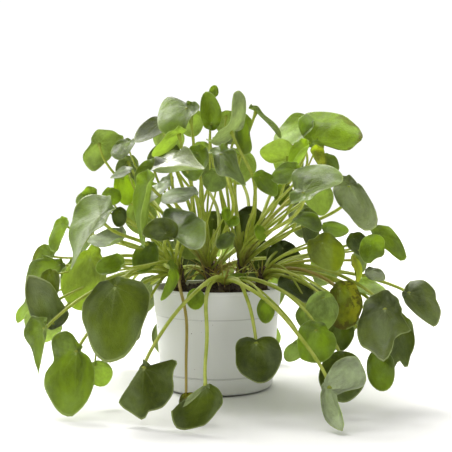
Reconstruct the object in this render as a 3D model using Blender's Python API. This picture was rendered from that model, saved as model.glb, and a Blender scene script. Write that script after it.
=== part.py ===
"""A Chinese money plant in a 14 cm nursery pot: pot, soil and six leafy stems.

The origin is the middle of the pot's flat underside, +Z is up, and -Y is the front.
Every size below is in millimetres and every angle in degrees until MM turns it into metres.
"""

import math

import bpy
import numpy as np

MM = 0.001
GAP = 0.3

# Pot
POT_HEIGHT = 108.0
RIM_RADIUS = 70.0
TAPER = 0.077
WALL = 1.6
LIP_HEIGHT = 3.0
LIP_STEP = 0.5
BAND_HEIGHT = 80.0
BAND_STEP = 0.5
GROOVE_HEIGHT = 19.0
GROOVE_DEPTH = 0.6
FOOT_RADIUS = 52.5
FOOT_WIDTH = 5.0
FOOT_ROUND = 6.0
DISC_RADIUS = 26.0
CHANNEL_LIFT = 3.0
FLOOR = 1.6
FLOOR_CORNER = 3.0
HOLES = 6
HOLE_RADIUS = 4.5
HOLE_CIRCLE = 38.0
NOTCH_WIDTH = 15.0
NOTCH_HEIGHT = 2.4
POT_SIDES = 32
HOLE_SIDES = 8
CUTTER_SPARE = 8.0

# Soil
SOIL_EDGE_TOP = 99.0
SOIL_CROWN_TOP = 110.0
SOIL_LUMP = 1.6
SOIL_SIDES = 20
SOIL_RINGS = (0.82, 0.6, 0.38, 0.18)

# Stems
STEM_SIDES = 10
STEM_DEPTH = 14.0
LEAN_FROM = SOIL_CROWN_TOP + 2

# Leaves
BLADE = 0.9
BASE_SHARE = 0.2
TIP_POINT = 0.06
TIP_SPREAD = 0.35
TURNS = np.radians(np.arange(360))
ROUND = 5
RIPPLES = 3
MIDDLE_RING = 0.6
BENT_FORMS = ("drape", "fold", "twist")
PETIOLE_SIDES = 3
LARGE_LEAF = 48.0
SMALL_LEAF = 29.0
OUTLINE_POINTS = {"large": 11, "middle": 9, "small": 8}
SHAPED_POINTS = {"large": 14, "middle": 11, "small": 8}

# Petioles: the blades between LOW_BLADE and HIGH_BLADE share out the length of the stem, and
# the shares say how far a petiole's two handles lie along its span. The sway, other on each
# leaf, bends it sideways.
PETIOLE_RADIUS = {"large": 1.8, "middle": 1.6, "small": 1.2}
PETIOLE_STEPS = {"large": 4, "middle": 3, "small": 3}
ROOT_SWELL = 1.25
BLADE_END = 0.9
JOINT_FLARE = 1.6
LOWEST_ROOT = SOIL_CROWN_TOP + 6
TOP_MARGIN = 2.0
LOW_BLADE = 60.0
HIGH_BLADE = 280.0
OUT_SHARE = 0.35
CLIMB_SHARE = 0.45
END_SHARE = 0.22
HANG_START = 25.0
HANG_RANGE = 80.0
SWAY = 0.22
SWAY_STEP = 2.4

# How a blade is bent: cup, fold of its halves, droop of its length, ripple of its edge, twist
FORMS = {
    "flat": (0.04, 4, 12, 0.02, 0),
    "cup": (0.16, 10, -20, 0.02, 0),
    "drape": (0.0, -22, 60, 0.03, 0),
    "fold": (0.0, 55, 15, 0.03, 0),
    "wave": (0.02, 8, 25, 0.06, 0),
    "twist": (0.0, 20, 40, 0.03, -60),
}

# Each stem: foot x and y, top x, y and z, radius at the foot and at the top
STEMS = {
    "stem_left": (-40, -12, -42, -14, 134, 6.5, 5.0),
    "stem_middle": (-8, -4, -9, -4, 138, 6.0, 4.5),
    "stem_centre": (26, 4, 27, 6, 142, 6.0, 4.5),
    "stem_right": (48, -12, 50, -14, 130, 6.5, 5.0),
    "stem_front": (8, -42, 9, -44, 119, 6.0, 4.5),
    "stem_back": (-4, 40, -4, 42, 131, 6.5, 5.0),
}

# Each leaf: where its petiole meets it (x, y, z), length, width, the way its upper face looks
# (0 = front, 90 = right) and how far that looks up, the tip's turn from hanging straight down
# (90 = to the right as one faces the blade), how high its petiole arches, and its form
LEAVES = {
    "stem_left": (
        (-113, -92, 185, 84, 60, -36, 43, 5, 20, "flat"),
        (-163, -20, 176, 36, 34, -40, 20, 0, 20, "flat"),
        (-183, 10, 140, 34, 32, -30, 22, -95, 20, "flat"),
        (-162, -38, 134, 54, 42, -12, 30, -68, 25, "flat"),
        (-167, -66, 126, 28, 26, -20, 20, 10, 25, "flat"),
        (-161, -84, 78, 60, 42, 0, 20, -161, 30, "flat"),
        (-200, -22, 92, 28, 26, -50, 30, 0, 30, "flat"),
        (-181, -52, 83, 40, 40, 170, 30, 0, 30, "flat"),
        (-164, -106, 77, 50, 44, -34, 8, -3, 30, "flat"),
        (-129, -130, 59, 74, 54, -14, 16, 4, 30, "flat"),
        (-118, -90, 38, 25, 24, 20, 20, 30, 30, "flat"),
        (-93, -130, 120, 80, 72, -8, 12, -4, 28, "flat"),
        (-128, -56, 141, 62, 56, -20, 16, -8, 25, "flat"),
        (-89, -114, 139, 30, 24, -30, 35, -70, 25, "cup"),
        (-97, -58, 161, 42, 34, -30, 56, -55, 20, "cup"),
        (-47, -112, 169, 44, 50, -4, 14, 108, 15, "flat"),
        (-38, -104, 170, 58, 40, -34, 50, 108, 10, "flat"),
        (-68, -46, 152, 34, 28, -20, 25, -15, 10, "flat"),
        (-42, -90, 134, 46, 15, 50, 5, 0, 15, "drape"),
        (-80, -48, 84, 32, 18, -50, 8, 0, 22, "flat"),
        (-125, 60, 92, 46, 42, -120, 15, 0, 30, "flat"),
        (-152, 98, 122, 48, 44, -130, 20, 10, 25, "drape"),
        (-150, 66, 165, 44, 40, -110, 30, -10, 20, "flat"),
        (-100, -42, 190, 20, 16, 0, 15, 0, 20, "flat"),
        (-129, -30, 208, 26, 22, -20, 30, -30, 20, "cup"),
        (-109, -46, 210, 20, 20, 10, 30, 10, 20, "flat"),
        (-90, -46, 231, 24, 22, -36, 56, -60, 10, "flat"),
        (-24, -90, 206, 36, 32, -20, 62, -78, 8, "flat"),
        (-30, 30, 166, 40, 36, 190, 20, 0, 8, "flat"),
        (-90, 84, 196, 44, 38, 200, 20, 0, 8, "flat"),
        (-124, 100, 72, 42, 38, 222, 12, 0, 30, "flat"),
        (-166, 48, 128, 40, 36, -108, 22, 0, 22, "flat"),
        (-26.5, -150, 20, 30, 20, 0, 10, 60, 30, "flat"),
    ),
    "stem_middle": (
        (-66, -88, 216, 72, 44, -52, 8, 0, 10, "flat"),
        (-50, -52, 220, 40, 24, -34, 50, -12, 10, "flat"),
        (-64, -54, 236, 38, 24, -10, 20, -40, 10, "flat"),
        (-125, -16, 261, 39, 32, 200, 20, 13, 10, "flat"),
        (-92, -44, 260, 28, 28, -30, 45, 0, 10, "flat"),
        (-99, -28, 224, 34, 24, 30, 18, 5, 10, "flat"),
        (-31, -30, 298, 48, 50, -24, 28, -65, 5, "flat"),
        (-62, 2, 285, 42, 36, -34, 30, -30, 5, "flat"),
        (-38, -54, 268, 46, 28, -125, 58, 0, 5, "flat"),
        (-46, -8, 252, 36, 28, -10, 20, -75, 5, "flat"),
        (-47, -80, 239, 64, 38, -34, 50, 78, 5, "flat"),
        (-20, -40, 250, 42, 34, -15, 32, 5, 5, "flat"),
        (-4, 4, 315, 13, 11, 0, 0, 170, 5, "cup"),
        (5, -94, 246, 56, 40, -24, 36, 44, 8, "flat"),
        (0, -56, 228, 26, 26, -10, 30, 0, 5, "flat"),
        (10, -52, 191, 14, 10, 0, 20, 0, 4, "flat"),
        (14, -42, 180, 18, 14, -20, 30, 60, 4, "cup"),
        (14, -50, 164, 22, 18, -20, 40, -30, 4, "flat"),
        (-60, 74, 286, 42, 38, 170, 30, 0, 5, "flat"),
        (-3, 62, 250, 42, 38, 180, 25, 10, 5, "drape"),
        (-21, 112, 264, 48, 42, 175, 30, -10, 8, "drape"),
        (-84, 106, 216, 46, 40, 206, 28, 0, 8, "flat"),
        (-104, 62, 246, 44, 38, 228, 22, 0, 10, "drape"),
        (-30, 60, 300, 36, 32, 186, 45, 0, 5, "flat"),
    ),
    "stem_centre": (
        (-6, -22, 282, 40, 24, 15, 5, 182, 5, "flat"),
        (15, -50, 271, 54, 44, -112, 38, 180, 5, "flat"),
        (10, -6, 262, 32, 30, 0, 105, 0, 5, "flat"),
        (27, -28, 283, 42, 32, 45, 8, 0, 5, "flat"),
        (42, -6, 296, 46, 36, 92, 50, 0, 5, "flat"),
        (37, 30, 186, 42, 36, 0, 10, 0, 4, "flat"),
        (44, -46, 172, 18, 13, 20, 30, 0, 4, "flat"),
        (43, -72, 224, 30, 22, 20, 20, 40, 5, "flat"),
        (97, 4, 284, 46, 40, -28, 38, -55, 5, "flat"),
        (112, -14, 259, 64, 52, -20, 22, 131, 8, "flat"),
        (75, -20, 247, 38, 34, 0, 130, -60, 5, "flat"),
        (89, -58, 254, 42, 30, -40, 10, -28, 5, "flat"),
        (102, -36, 252, 26, 20, 30, 20, 0, 5, "cup"),
        (114, -30, 245, 22, 18, 20, 30, 40, 5, "flat"),
        (78, -72, 231, 30, 24, -20, 30, -65, 5, "flat"),
        (85, -96, 209, 48, 52, -26, 32, 116, 5, "flat"),
        (136, -50, 216, 74, 44, -28, 24, 35, 12, "flat"),
        (98, 8, 184, 42, 32, 38, 10, 10, 6, "flat"),
        (82, -46, 182, 34, 28, 0, 58, 60, 6, "fold"),
        (73, 14, 215, 26, 22, 0, 20, 0, 5, "flat"),
        (113, 62, 220, 46, 40, 150, 25, 0, 8, "flat"),
        (82, 80, 262, 46, 40, 150, 30, 0, 8, "drape"),
        (24, 100, 256, 46, 42, 168, 28, 0, 8, "flat"),
        (98, 106, 192, 44, 40, 144, 26, 0, 8, "wave"),
        (10, 56, 298, 36, 32, 172, 42, 0, 5, "flat"),
    ),
    "stem_right": (
        (73, 24, 148, 42, 38, 8, 10, 0, 6, "flat"),
        (77, -42, 118, 46, 36, 20, 62, 0, 6, "flat"),
        (104, -96, 105, 38, 32, -8, 12, -8, 28, "flat"),
        (90, -74, 93, 24, 20, -20, 20, 0, 44, "flat"),
        (122, -80, 112, 48, 34, 5, 8, 0, 25, "flat"),
        (127, -50, 76, 34, 28, 0, 10, 0, 30, "flat"),
        (161, -110, 96, 70, 60, -8, 20, -2, 40, "flat"),
        (177, -78, 76, 62, 44, 20, 8, -12, 28, "flat"),
        (158, -94, 48, 38, 30, 10, 14, 5, 30, "flat"),
        (197, -52, 105, 52, 38, -22, 28, 38, 25, "flat"),
        (104, -84, 159, 42, 40, 5, 8, 24, 12, "flat"),
        (113, -50, 173, 26, 22, 0, 45, 70, 10, "flat"),
        (139, -58, 162, 28, 24, 0, 30, 35, 12, "flat"),
        (152, -80, 156, 28, 26, -10, 18, -8, 15, "cup"),
        (168, -42, 165, 42, 31, 25, 18, 38, 12, "flat"),
        (137, -70, 141, 32, 18, 58, 10, 20, 15, "fold"),
        (157, -50, 128, 22, 18, -10, 50, 50, 18, "flat"),
        (150, -34, 112, 34, 30, 0, 58, 60, 20, "flat"),
        (127, 82, 137, 48, 42, 140, 20, 0, 20, "drape"),
        (190, 50, 60, 44, 38, 100, 15, 0, 30, "flat"),
        (152, 92, 78, 50, 44, 120, 15, 10, 28, "wave"),
        (116, 104, 92, 44, 40, 138, 14, 0, 26, "flat"),
        (160, 36, 150, 38, 34, 104, 26, 0, 16, "drape"),
    ),
    "stem_front": (
        (-64, -154, 49, 56, 60, 0, 12, -2, 32, "flat"),
        (-8, -178, 38, 48, 44, 0, 14, -26, 24, "flat"),
        (-20, -84, 110, 20, 18, 0, 12, 0, 8, "flat"),
        (48, -98, 102, 24, 17, 0, 12, 0, 12, "flat"),
        (38, -124, 66, 44, 44, 0, 10, -3, 22, "flat"),
        (94, -124, 78, 36, 38, -12, 24, 0, 20, "flat"),
        (80, -106, 62, 24, 20, -30, 40, -20, 22, "flat"),
        (118.5, -122, 50, 45, 42, 0, 14, 0, 24, "flat"),
        (101, -168, 34, 66, 50, -6, 24, 21, 24, "flat"),
        (28, -54, 121, 20, 10, -30, 60, -80, 4, "cup"),
    ),
    "stem_back": (
        (-44, 132, 74, 50, 44, 190, 15, 0, 26, "flat"),
        (44, 100, 148, 48, 44, 8, 10, 0, 20, "flat"),
        (0, 150, 118, 46, 42, 180, 30, 0, 20, "flat"),
        (-64, 106, 146, 46, 42, 200, 30, 10, 15, "flat"),
        (81, 96, 136, 44, 40, 160, 30, -10, 15, "flat"),
        (40, 122, 178, 46, 42, 170, 30, 0, 10, "drape"),
        (-30, 100, 131, 48, 44, 8, 10, 0, 20, "flat"),
        (-82, 112, 100, 46, 42, 216, 20, 0, 20, "flat"),
        (66, 124, 104, 44, 40, 150, 20, -10, 20, "drape"),
        (-6, 70, 180, 44, 40, -8, 12, 0, 14, "flat"),
        (2, 106, 150, 40, 38, 182, 35, 0, 10, "cup"),
        (-66, 122, 46, 42, 38, 202, 10, 0, 32, "drape"),
        (60, 122, 44, 42, 38, 158, 10, 8, 32, "flat"),
    ),
}

# What single leaves have beyond their form: rolls (towards, from this share of the length,
# degrees, over this share of the length), then points of the edge, in mm to the right of the
# joint and above it. A leaf without such points is oval. A roll of more than 0 degrees goes up
# and over the upper face, and one over a share of 0 goes on to the edge. Directions are in
# degrees as one faces the blade: 0 = straight down, 90 = right, 180 = up.
SHAPES = {
    "stem_left": {
        0: (
            ((100, 0.1, 30, 0.2), (-60, 0.25, -35, 0.0)),
            (
                (6, -68), (-7, -54), (-15, -44), (-24, -30), (-31, -7), (-34, 8), (-30, 17),
                (-24, 24), (-15, 27), (-6, 26), (3, 23), (10, 13), (22, -7), (25, -17),
                (19, -24), (14, -29), (11, -36), (9, -46), (8, -57),
            ),
        ),
        1: (((80, 0.1, 40, 0.0),), ()),
        2: (
            (),
            (
                (-25, 1), (-20, 9), (-12, 13), (-2, 11), (6, 8), (6, -1), (3, -8), (-9, -13),
                (-21, -13), (-27, -7),
            ),
        ),
        3: (
            ((-75, 0.3, -25, 0.2), (160, 0.05, -20, 0.0)),
            (
                (7, -3), (2, -12), (-8, -20), (-23, -36), (-36, -39), (-45, -24), (-47, -8),
                (-40, 6), (-32, 14), (-24, 12), (-15, 6), (-6, 4), (2, 3),
            ),
        ),
        4: (((-60, 0.1, -55, 0.0),), ()),
        5: (
            ((-160, 0.1, 25, 0.15), (-100, 0.15, -30, 0.2)),
            (
                (-17, 49), (-10, 45), (-2, 40), (3, 33), (6, 26), (11, 19), (17, 10), (15, 5),
                (8, -2), (2, -5), (-4, -4), (-8, 2), (-15, 6), (-20, 9), (-22, 18), (-24, 26),
                (-23, 34), (-20, 43),
            ),
        ),
        8: (
            ((80, 0.04, 45, 0.08), (-80, 0.2, -30, 0.0)),
            (
                (-18, 12), (-24, -2), (-19, -19), (-12, -29), (0, -43), (9, -42), (12, -24),
                (10, -7), (7, 5), (-8, 11),
            ),
        ),
        9: (
            ((-100, 0.15, -30, 0.12), (80, 0.15, -30, 0.12), (-10, 0.4, 20, 0.1)),
            (
                (-21, 13), (-17, 18), (-11, 20), (-5, 17), (2, 8), (8, 1), (13, -2), (19, -16),
                (20, -27), (14, -45), (4, -57), (-5, -56), (-12, -52), (-24, -36), (-31, -19),
                (-23, -10), (-22, 4),
            ),
        ),
        11: (
            ((-85, 0.15, -35, 0.2), (80, 0.22, -30, 0.2)),
            (
                (-15, 5), (-4, 6), (11, 8), (26, 5), (34, -5), (34, -12), (29, -30), (20, -50),
                (11, -62), (-4, -68), (-13, -62), (-24, -46), (-34, -30), (-33, -21), (-31, -14),
                (-22, -6), (-19, 0),
            ),
        ),
        12: (
            ((90, 0.1, 35, 0.2), (-90, 0.2, -30, 0.0)),
            (
                (-31, -23), (-27, -14), (-20, -3), (-12, 5), (-5, 10), (2, 14), (7, 13), (15, 7),
                (25, -1), (30, -12), (27, -29), (17, -44), (2, -52), (-10, -51), (-20, -45),
                (-28, -36),
            ),
        ),
        15: (
            ((-60, 0.1, -20, 0.1),),
            (
                (-25, 1), (-22, 8), (-15, 12), (-6, 15), (4, 14), (10, 9), (12, 1), (9, -6),
                (2, -6), (-10, -5), (-20, -3),
            ),
        ),
        16: (
            ((-60, 0.2, -25, 0.2),),
            (
                (-30, 32), (-23, 34), (-14, 33), (-4, 31), (14, 21), (21, 18), (33, 3),
                (42, -12), (42, -21), (35, -24), (24, -21), (11, -13), (-4, -6), (-17, 8),
                (-28, 22),
            ),
        ),
    },
    "stem_middle": {
        0: (((90, 0.08, 60, 0.15),), ()),
        2: (
            ((-40, 0.3, -40, 0.2),),
            (
                (6, 8), (6, 0), (-2, -5), (-9, -11), (-15, -19), (-20, -24), (-20, -12),
                (-15, -2), (-7, 5), (0, 8),
            ),
        ),
        3: (
            ((-60, 0.05, -30, 0.2),),
            (
                (2, 15), (-6, 16), (-13, 15), (-20, 11), (-27, 10), (-21, 3), (-16, -3),
                (-13, -12), (-7, -20), (-1, -27), (5, -31), (11, -27), (16, -18), (16, -11),
                (12, -5), (8, 1), (6, 10),
            ),
        ),
        6: (
            ((75, 0.1, 20, 0.15), (-100, 0.2, -35, 0.0), (-10, 0.3, -25, 0.0)),
            (
                (-29, 18), (-36, 14), (-38, 5), (-37, -6), (-32, -17), (-26, -25), (-18, -30),
                (-10, -31), (-2, -30), (5, -25), (11, -19), (16, -12), (18, -3), (12, 3), (0, 5),
                (-10, 10), (-20, 15),
            ),
        ),
        7: (((0, 0.2, 50, 0.0),), ()),
        10: (
            ((8, 0.3, 80, 0.06), (-120, 0.1, -20, 0.0)),
            (
                (-13, 5), (-15, 15), (-8, 19), (6, 17), (18, 13), (29, 5), (41, -4), (54, -13),
                (46, -17), (34, -22), (24, -26), (12, -29), (-2, -26), (-10, -15), (-12, -4),
            ),
        ),
        11: (((90, 0.1, 40, 0.2),), ()),
        13: (
            ((-60, 0.08, 35, 0.1), (100, 0.05, -35, 0.15)),
            (
                (-13, 2), (-10, 7), (-2, 8), (7, 5), (15, 0), (22, -13), (29, -21), (35, -32),
                (26, -30), (17, -28), (10, -28), (3, -29), (0, -23), (-5, -14), (-10, -5),
            ),
        ),
    },
    "stem_centre": {
        1: (
            ((180, 0.1, 60, 0.0), (0, 0.12, 80, 0.0)),
            (
                (0, 44), (-14, 39), (-21, 23), (-22, 5), (-22, -10), (-18, -23), (-9, -30),
                (0, -32), (9, -30), (18, -23), (22, -10), (22, 5), (21, 23), (14, 39),
            ),
        ),
        3: (((90, 0.1, -35, 0.0),), ()),
        9: (
            ((172, 0.22, -35, 0.1), (60, 0.35, -25, 0.0)),
            (
                (-21, 20), (-15, 29), (-9, 36), (-2, 39), (9, 41), (20, 41), (35, 38), (40, 30),
                (43, 18), (42, 9), (36, 3), (30, -5), (21, -7), (10, -6), (-1, -9), (-8, -1),
                (-16, 9),
            ),
        ),
        11: (((60, 0.08, 120, 0.15), (-90, 0.3, -30, 0.0)), ()),
        15: (
            ((25, 0.1, 28, 0.1), (165, 0.25, -30, 0.15)),
            (
                (-16, 18), (-15, 26), (-11, 32), (-3, 38), (6, 40), (16, 39), (26, 33), (33, 25),
                (35, 17), (33, 9), (29, 5), (22, -2), (13, -9), (7, -14), (1, -19), (-5, -20),
                (-10, -13), (-12, -3), (-11, 3),
            ),
        ),
        16: (
            ((110, 0.1, -35, 0.15), (-60, 0.2, 25, 0.1)),
            (
                (-13, 9), (-4, 9), (6, 4), (18, -8), (27, -23), (31, -34), (32, -44), (28, -49),
                (21, -49), (14, -44), (5, -34), (-5, -25), (-12, -17), (-16, -7), (-16, 3),
            ),
        ),
    },
    "stem_right": {
        4: (
            ((-90, 0.1, -40, 0.1), (100, 0.2, -25, 0.0)),
            (
                (-4, 7), (1, 9), (9, 9), (12, 7), (17, 0), (21, -7), (22, -15), (20, -22),
                (14, -34), (8, -38), (1, -39), (-6, -36), (-9, -30), (-10, -18), (-9, -5),
                (-7, 2),
            ),
        ),
        6: (
            ((95, 0.06, 40, 0.1), (-90, 0.15, -45, 0.15), (10, 0.4, 30, 0.1)),
            (
                (-14, 10), (-8, 16), (-3, 19), (4, 18), (11, 13), (17, 6), (20, 0), (16, -5),
                (21, -14), (28, -20), (17, -23), (12, -27), (9, -34), (7, -41), (4, -51),
                (-2, -57), (-6, -53), (-10, -46), (-15, -39), (-22, -30), (-27, -19), (-29, -10),
                (-27, -4), (-23, 2),
            ),
        ),
        7: (
            ((-80, 0.1, -40, 0.2),),
            (
                (12, 8), (21, -4), (22, -12), (19, -21), (15, -29), (14, -36), (12, -45),
                (8, -39), (4, -33), (1, -37), (-5, -46), (-10, -50), (-15, -43), (-23, -24),
                (-25, -4), (-15, 11), (0, 16),
            ),
        ),
        9: (
            ((130, 0.1, -40, 0.15), (-30, 0.2, 30, 0.1)),
            (
                (0, 16), (7, 18), (16, 14), (25, 9), (27, -2), (33, -16), (31, -28), (26, -34),
                (19, -29), (7, -21), (-1, -14), (-5, -6), (-5, 2), (-3, 10),
            ),
        ),
        10: (
            ((100, 0.1, -35, 0.2), (-90, 0.2, -35, 0.0)),
            (
                (-13, 3), (-7, 4), (-3, 8), (5, 10), (12, 9), (16, 4), (22, -5), (23, -14),
                (22, -22), (18, -28), (14, -30), (8, -28), (-2, -24), (-10, -19), (-14, -11),
                (-14, -2),
            ),
        ),
        13: (
            ((90, 0.15, -50, 0.1),),
            (
                (-9, 2), (-5, 8), (3, 11), (10, 7), (13, -1), (11, -8), (5, -15), (0, -21),
                (-6, -20), (-10, -12), (-11, -4),
            ),
        ),
        14: (
            ((-30, 0.2, -20, 0.2),),
            (
                (-12, 6), (-3, 9), (8, 9), (17, 4), (24, -4), (28, -13), (31, -26), (23, -29),
                (14, -23), (5, -15), (-9, -5),
            ),
        ),
    },
    "stem_front": {
        0: (
            ((-124, 0.03, -150, 0.06), (92, 0.3, 25, 0.0)),
            (
                (6, 3), (15, 6), (24, 9), (32, 6), (29, -1), (28, -8), (29, -15), (28, -22),
                (19, -32), (12, -34), (5, -35), (1, -45), (-5, -43), (-13, -39), (-19, -35),
                (-22, -30), (-25, -21), (-17, -5), (-8, 3),
            ),
        ),
        1: (
            ((-148, 0.02, 165, 0.05),),
            (
                (-30, -18), (-28, -26), (-24, -33), (-17, -35), (-9, -34), (0, -32), (5, -27),
                (10, -21), (15, -14), (14, -6), (11, -1), (6, 2), (0, 3), (-6, 3), (-14, 1),
                (-26, -5),
            ),
        ),
        4: (
            ((90, 0.2, -25, 0.2), (-90, 0.2, -25, 0.2)),
            (
                (-15, 5), (-9, 7), (-4, 6), (0, 4), (6, 7), (13, 7), (19, 3), (23, -5),
                (24, -12), (21, -21), (15, -30), (7, -35), (1, -36), (-6, -33), (-14, -27),
                (-19, -18), (-19, -8), (-18, -1),
            ),
        ),
        5: (
            ((90, 0.05, -35, 0.1), (180, 0.04, -50, 0.0)),
            (
                (-13, 6), (-7, 10), (1, 10), (10, 9), (15, 4), (19, -6), (19, -14), (14, -24),
                (8, -28), (-5, -28), (-14, -26), (-17, -16), (-17, -6),
            ),
        ),
        7: (((-90, 0.1, -30, 0.0),), ()),
        8: (
            ((115, 0.2, -35, 0.15), (21, 0.3, 30, 0.1)),
            (
                (5, 23), (13, 28), (26, 32), (32, 20), (32, 10), (27, 1), (14, -2), (6, -5),
                (7, -13), (11, -23), (17, -35), (14, -40), (8, -38), (1, -33), (-4, -27),
                (-7, -19), (-8, -12), (-7, -2), (-5, 6), (0, 16),
            ),
        ),
    },
    "stem_back": {},
}

COLOURS = {
    "pot": ((0.80, 0.81, 0.82), 0.42),
    "soil": ((0.045, 0.028, 0.018), 0.95),
    "stem_centre": ((0.13, 0.23, 0.04), 0.38),
    "stem_middle": ((0.12, 0.22, 0.04), 0.38),
    "stem_left": ((0.11, 0.21, 0.04), 0.38),
    "stem_right": ((0.12, 0.20, 0.04), 0.38),
    "stem_front": ((0.10, 0.20, 0.03), 0.38),
    "stem_back": ((0.10, 0.19, 0.04), 0.38),
}


def clear_scene():
    for thing in list(bpy.data.objects):
        bpy.data.objects.remove(thing, do_unlink=True)


def material_for(name):
    colour, roughness = COLOURS[name]
    material = bpy.data.materials.new(name + "_finish")
    material.use_nodes = True
    shader = material.node_tree.nodes["Principled BSDF"]
    shader.inputs["Base Color"].default_value = (*colour, 1.0)
    shader.inputs["Roughness"].default_value = roughness
    return material


def object_from(name, points, faces):
    """A mesh object from points in millimetres."""
    mesh = bpy.data.meshes.new(name)
    mesh.from_pydata((np.asarray(points) * MM).tolist(), [], faces)
    mesh.update()
    thing = bpy.data.objects.new(name, mesh)
    bpy.context.scene.collection.objects.link(thing)
    return thing


def finish(thing, sharp_angle=35):
    """Gives a piece its material and smooth shading with sharp edges kept."""
    thing.data.materials.clear()
    thing.data.materials.append(material_for(thing.name))
    thing.data.shade_smooth()
    thing.data.set_sharp_from_angle(angle=math.radians(sharp_angle))


def turned(name, profile, sides):
    """A solid of revolution from (radius, height) points, with fans where the radius is 0."""
    points, rings = [], []
    for radius, height in profile:
        if radius == 0:
            rings.append([len(points)] * sides)
            points.append((0, 0, height))
            continue
        rings.append(list(range(len(points), len(points) + sides)))
        for i in range(sides):
            angle = 2 * math.pi * i / sides
            points.append((radius * math.cos(angle), radius * math.sin(angle), height))
    faces = []
    for low, high in zip(rings, rings[1:]):
        for i in range(sides):
            j = (i + 1) % sides
            corners = [low[i], low[j], high[j], high[i]]
            faces.append(list(dict.fromkeys(corners)))
    return object_from(name, points, faces)


def combine(thing, cutters, operation, solver):
    """Applies one Boolean with all the cutters to the object, then removes them."""
    helpers = bpy.data.collections.new(thing.name + "_helpers")
    bpy.context.scene.collection.children.link(helpers)
    for cutter in cutters:
        for owner in list(cutter.users_collection):
            owner.objects.unlink(cutter)
        helpers.objects.link(cutter)
        cutter.hide_render = True
        cutter.display_type = "WIRE"
    boolean = thing.modifiers.new("join", "BOOLEAN")
    boolean.operation = operation
    boolean.operand_type = "COLLECTION"
    boolean.collection = helpers
    boolean.solver = solver
    graph = bpy.context.evaluated_depsgraph_get()
    result = bpy.data.meshes.new_from_object(thing.evaluated_get(graph))
    thing.modifiers.clear()
    thing.data = result
    for cutter in cutters:
        bpy.data.objects.remove(cutter, do_unlink=True)
    bpy.data.collections.remove(helpers)


def wall_outside(height):
    """The outer radius at a height: a plain taper, stepped in below the band."""
    step = LIP_STEP if height >= BAND_HEIGHT else LIP_STEP + BAND_STEP
    return RIM_RADIUS - step - TAPER * (POT_HEIGHT - height)


def wall_inside(height):
    """The wall's inner radius at a height over the floor."""
    return RIM_RADIUS - LIP_STEP - BAND_STEP - WALL - TAPER * (POT_HEIGHT - height)


def pot_outside():
    """The wall's outer line from the foot to the rim, as (radius, height) points."""
    foot_swing = wall_outside(FOOT_ROUND) - FOOT_RADIUS
    lip_bottom = POT_HEIGHT - LIP_HEIGHT
    return [
        (FOOT_RADIUS, 0.0),
        (FOOT_RADIUS + 0.6 * foot_swing, 0.3 * FOOT_ROUND),
        (wall_outside(FOOT_ROUND), FOOT_ROUND),
        (wall_outside(GROOVE_HEIGHT) - GROOVE_DEPTH, GROOVE_HEIGHT - GROOVE_DEPTH),
        (wall_outside(GROOVE_HEIGHT), GROOVE_HEIGHT),
        (wall_outside(BAND_HEIGHT - BAND_STEP), BAND_HEIGHT - BAND_STEP),
        (wall_outside(BAND_HEIGHT), BAND_HEIGHT),
        (wall_outside(lip_bottom - LIP_STEP), lip_bottom - LIP_STEP),
        (RIM_RADIUS, lip_bottom),
        (RIM_RADIUS, POT_HEIGHT - LIP_STEP),
        (RIM_RADIUS - LIP_STEP, POT_HEIGHT),
    ]


def make_pot():
    """A thin turned shell on a foot ring and a flat middle disc, with a raised channel of holes."""
    floor_top = CHANNEL_LIFT + FLOOR
    corner = floor_top + FLOOR_CORNER
    inside = [
        (wall_inside(POT_HEIGHT), POT_HEIGHT),
        (wall_inside(corner), corner),
        (FOOT_RADIUS + FLOOR, floor_top),
        (DISC_RADIUS + FLOOR, floor_top),
        (DISC_RADIUS - FLOOR, FLOOR),
        (0, FLOOR),
    ]
    under = [
        (0, 0),
        (DISC_RADIUS, 0),
        (DISC_RADIUS + CHANNEL_LIFT, CHANNEL_LIFT),
        (FOOT_RADIUS - FOOT_WIDTH, CHANNEL_LIFT),
        (FOOT_RADIUS - FOOT_WIDTH, 0),
    ]
    pot = turned("pot", under + pot_outside() + inside, POT_SIDES)
    cutters = []
    for i in range(HOLES):
        angle = 2 * math.pi * (i + 0.5) / HOLES
        low, high = -CUTTER_SPARE, CHANNEL_LIFT + FLOOR + CUTTER_SPARE
        profile = [(0, low), (HOLE_RADIUS, low), (HOLE_RADIUS, high), (0, high)]
        hole = turned("hole", profile, HOLE_SIDES)
        place = (HOLE_CIRCLE * math.cos(angle) * MM, HOLE_CIRCLE * math.sin(angle) * MM, 0)
        hole.location = place
        cutters.append(hole)
        cutters.append(foot_notch(angle))
    bpy.context.view_layer.update()
    combine(pot, cutters, "DIFFERENCE", "EXACT")
    finish(pot)


def foot_notch(angle):
    """A low box across the foot ring, which lets water out sideways."""
    near, far = FOOT_RADIUS - FOOT_WIDTH - CHANNEL_LIFT, FOOT_RADIUS + CUTTER_SPARE
    half = NOTCH_WIDTH / 2
    points = []
    for height in (-CUTTER_SPARE, NOTCH_HEIGHT):
        points += [(near, -half, height), (far, -half, height)]
        points += [(far, half, height), (near, half, height)]
    faces = [(3, 2, 1, 0), (4, 5, 6, 7)]
    faces += [(i, (i + 1) % 4, (i + 1) % 4 + 4, i + 4) for i in range(4)]
    notch = object_from("notch", points, faces)
    notch.rotation_euler = (0, 0, angle)
    return notch


def soil_top(radius, angle):
    """Height of the soil: a low mound with gentle lumps."""
    share = radius / wall_inside(SOIL_EDGE_TOP)
    mound = SOIL_CROWN_TOP + (SOIL_EDGE_TOP - SOIL_CROWN_TOP) * share**2
    lumps = math.sin(3 * angle + 6 * share) + 0.7 * math.sin(7 * angle - 9 * share)
    return mound + SOIL_LUMP * lumps * share * (1 - share**4)


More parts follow.
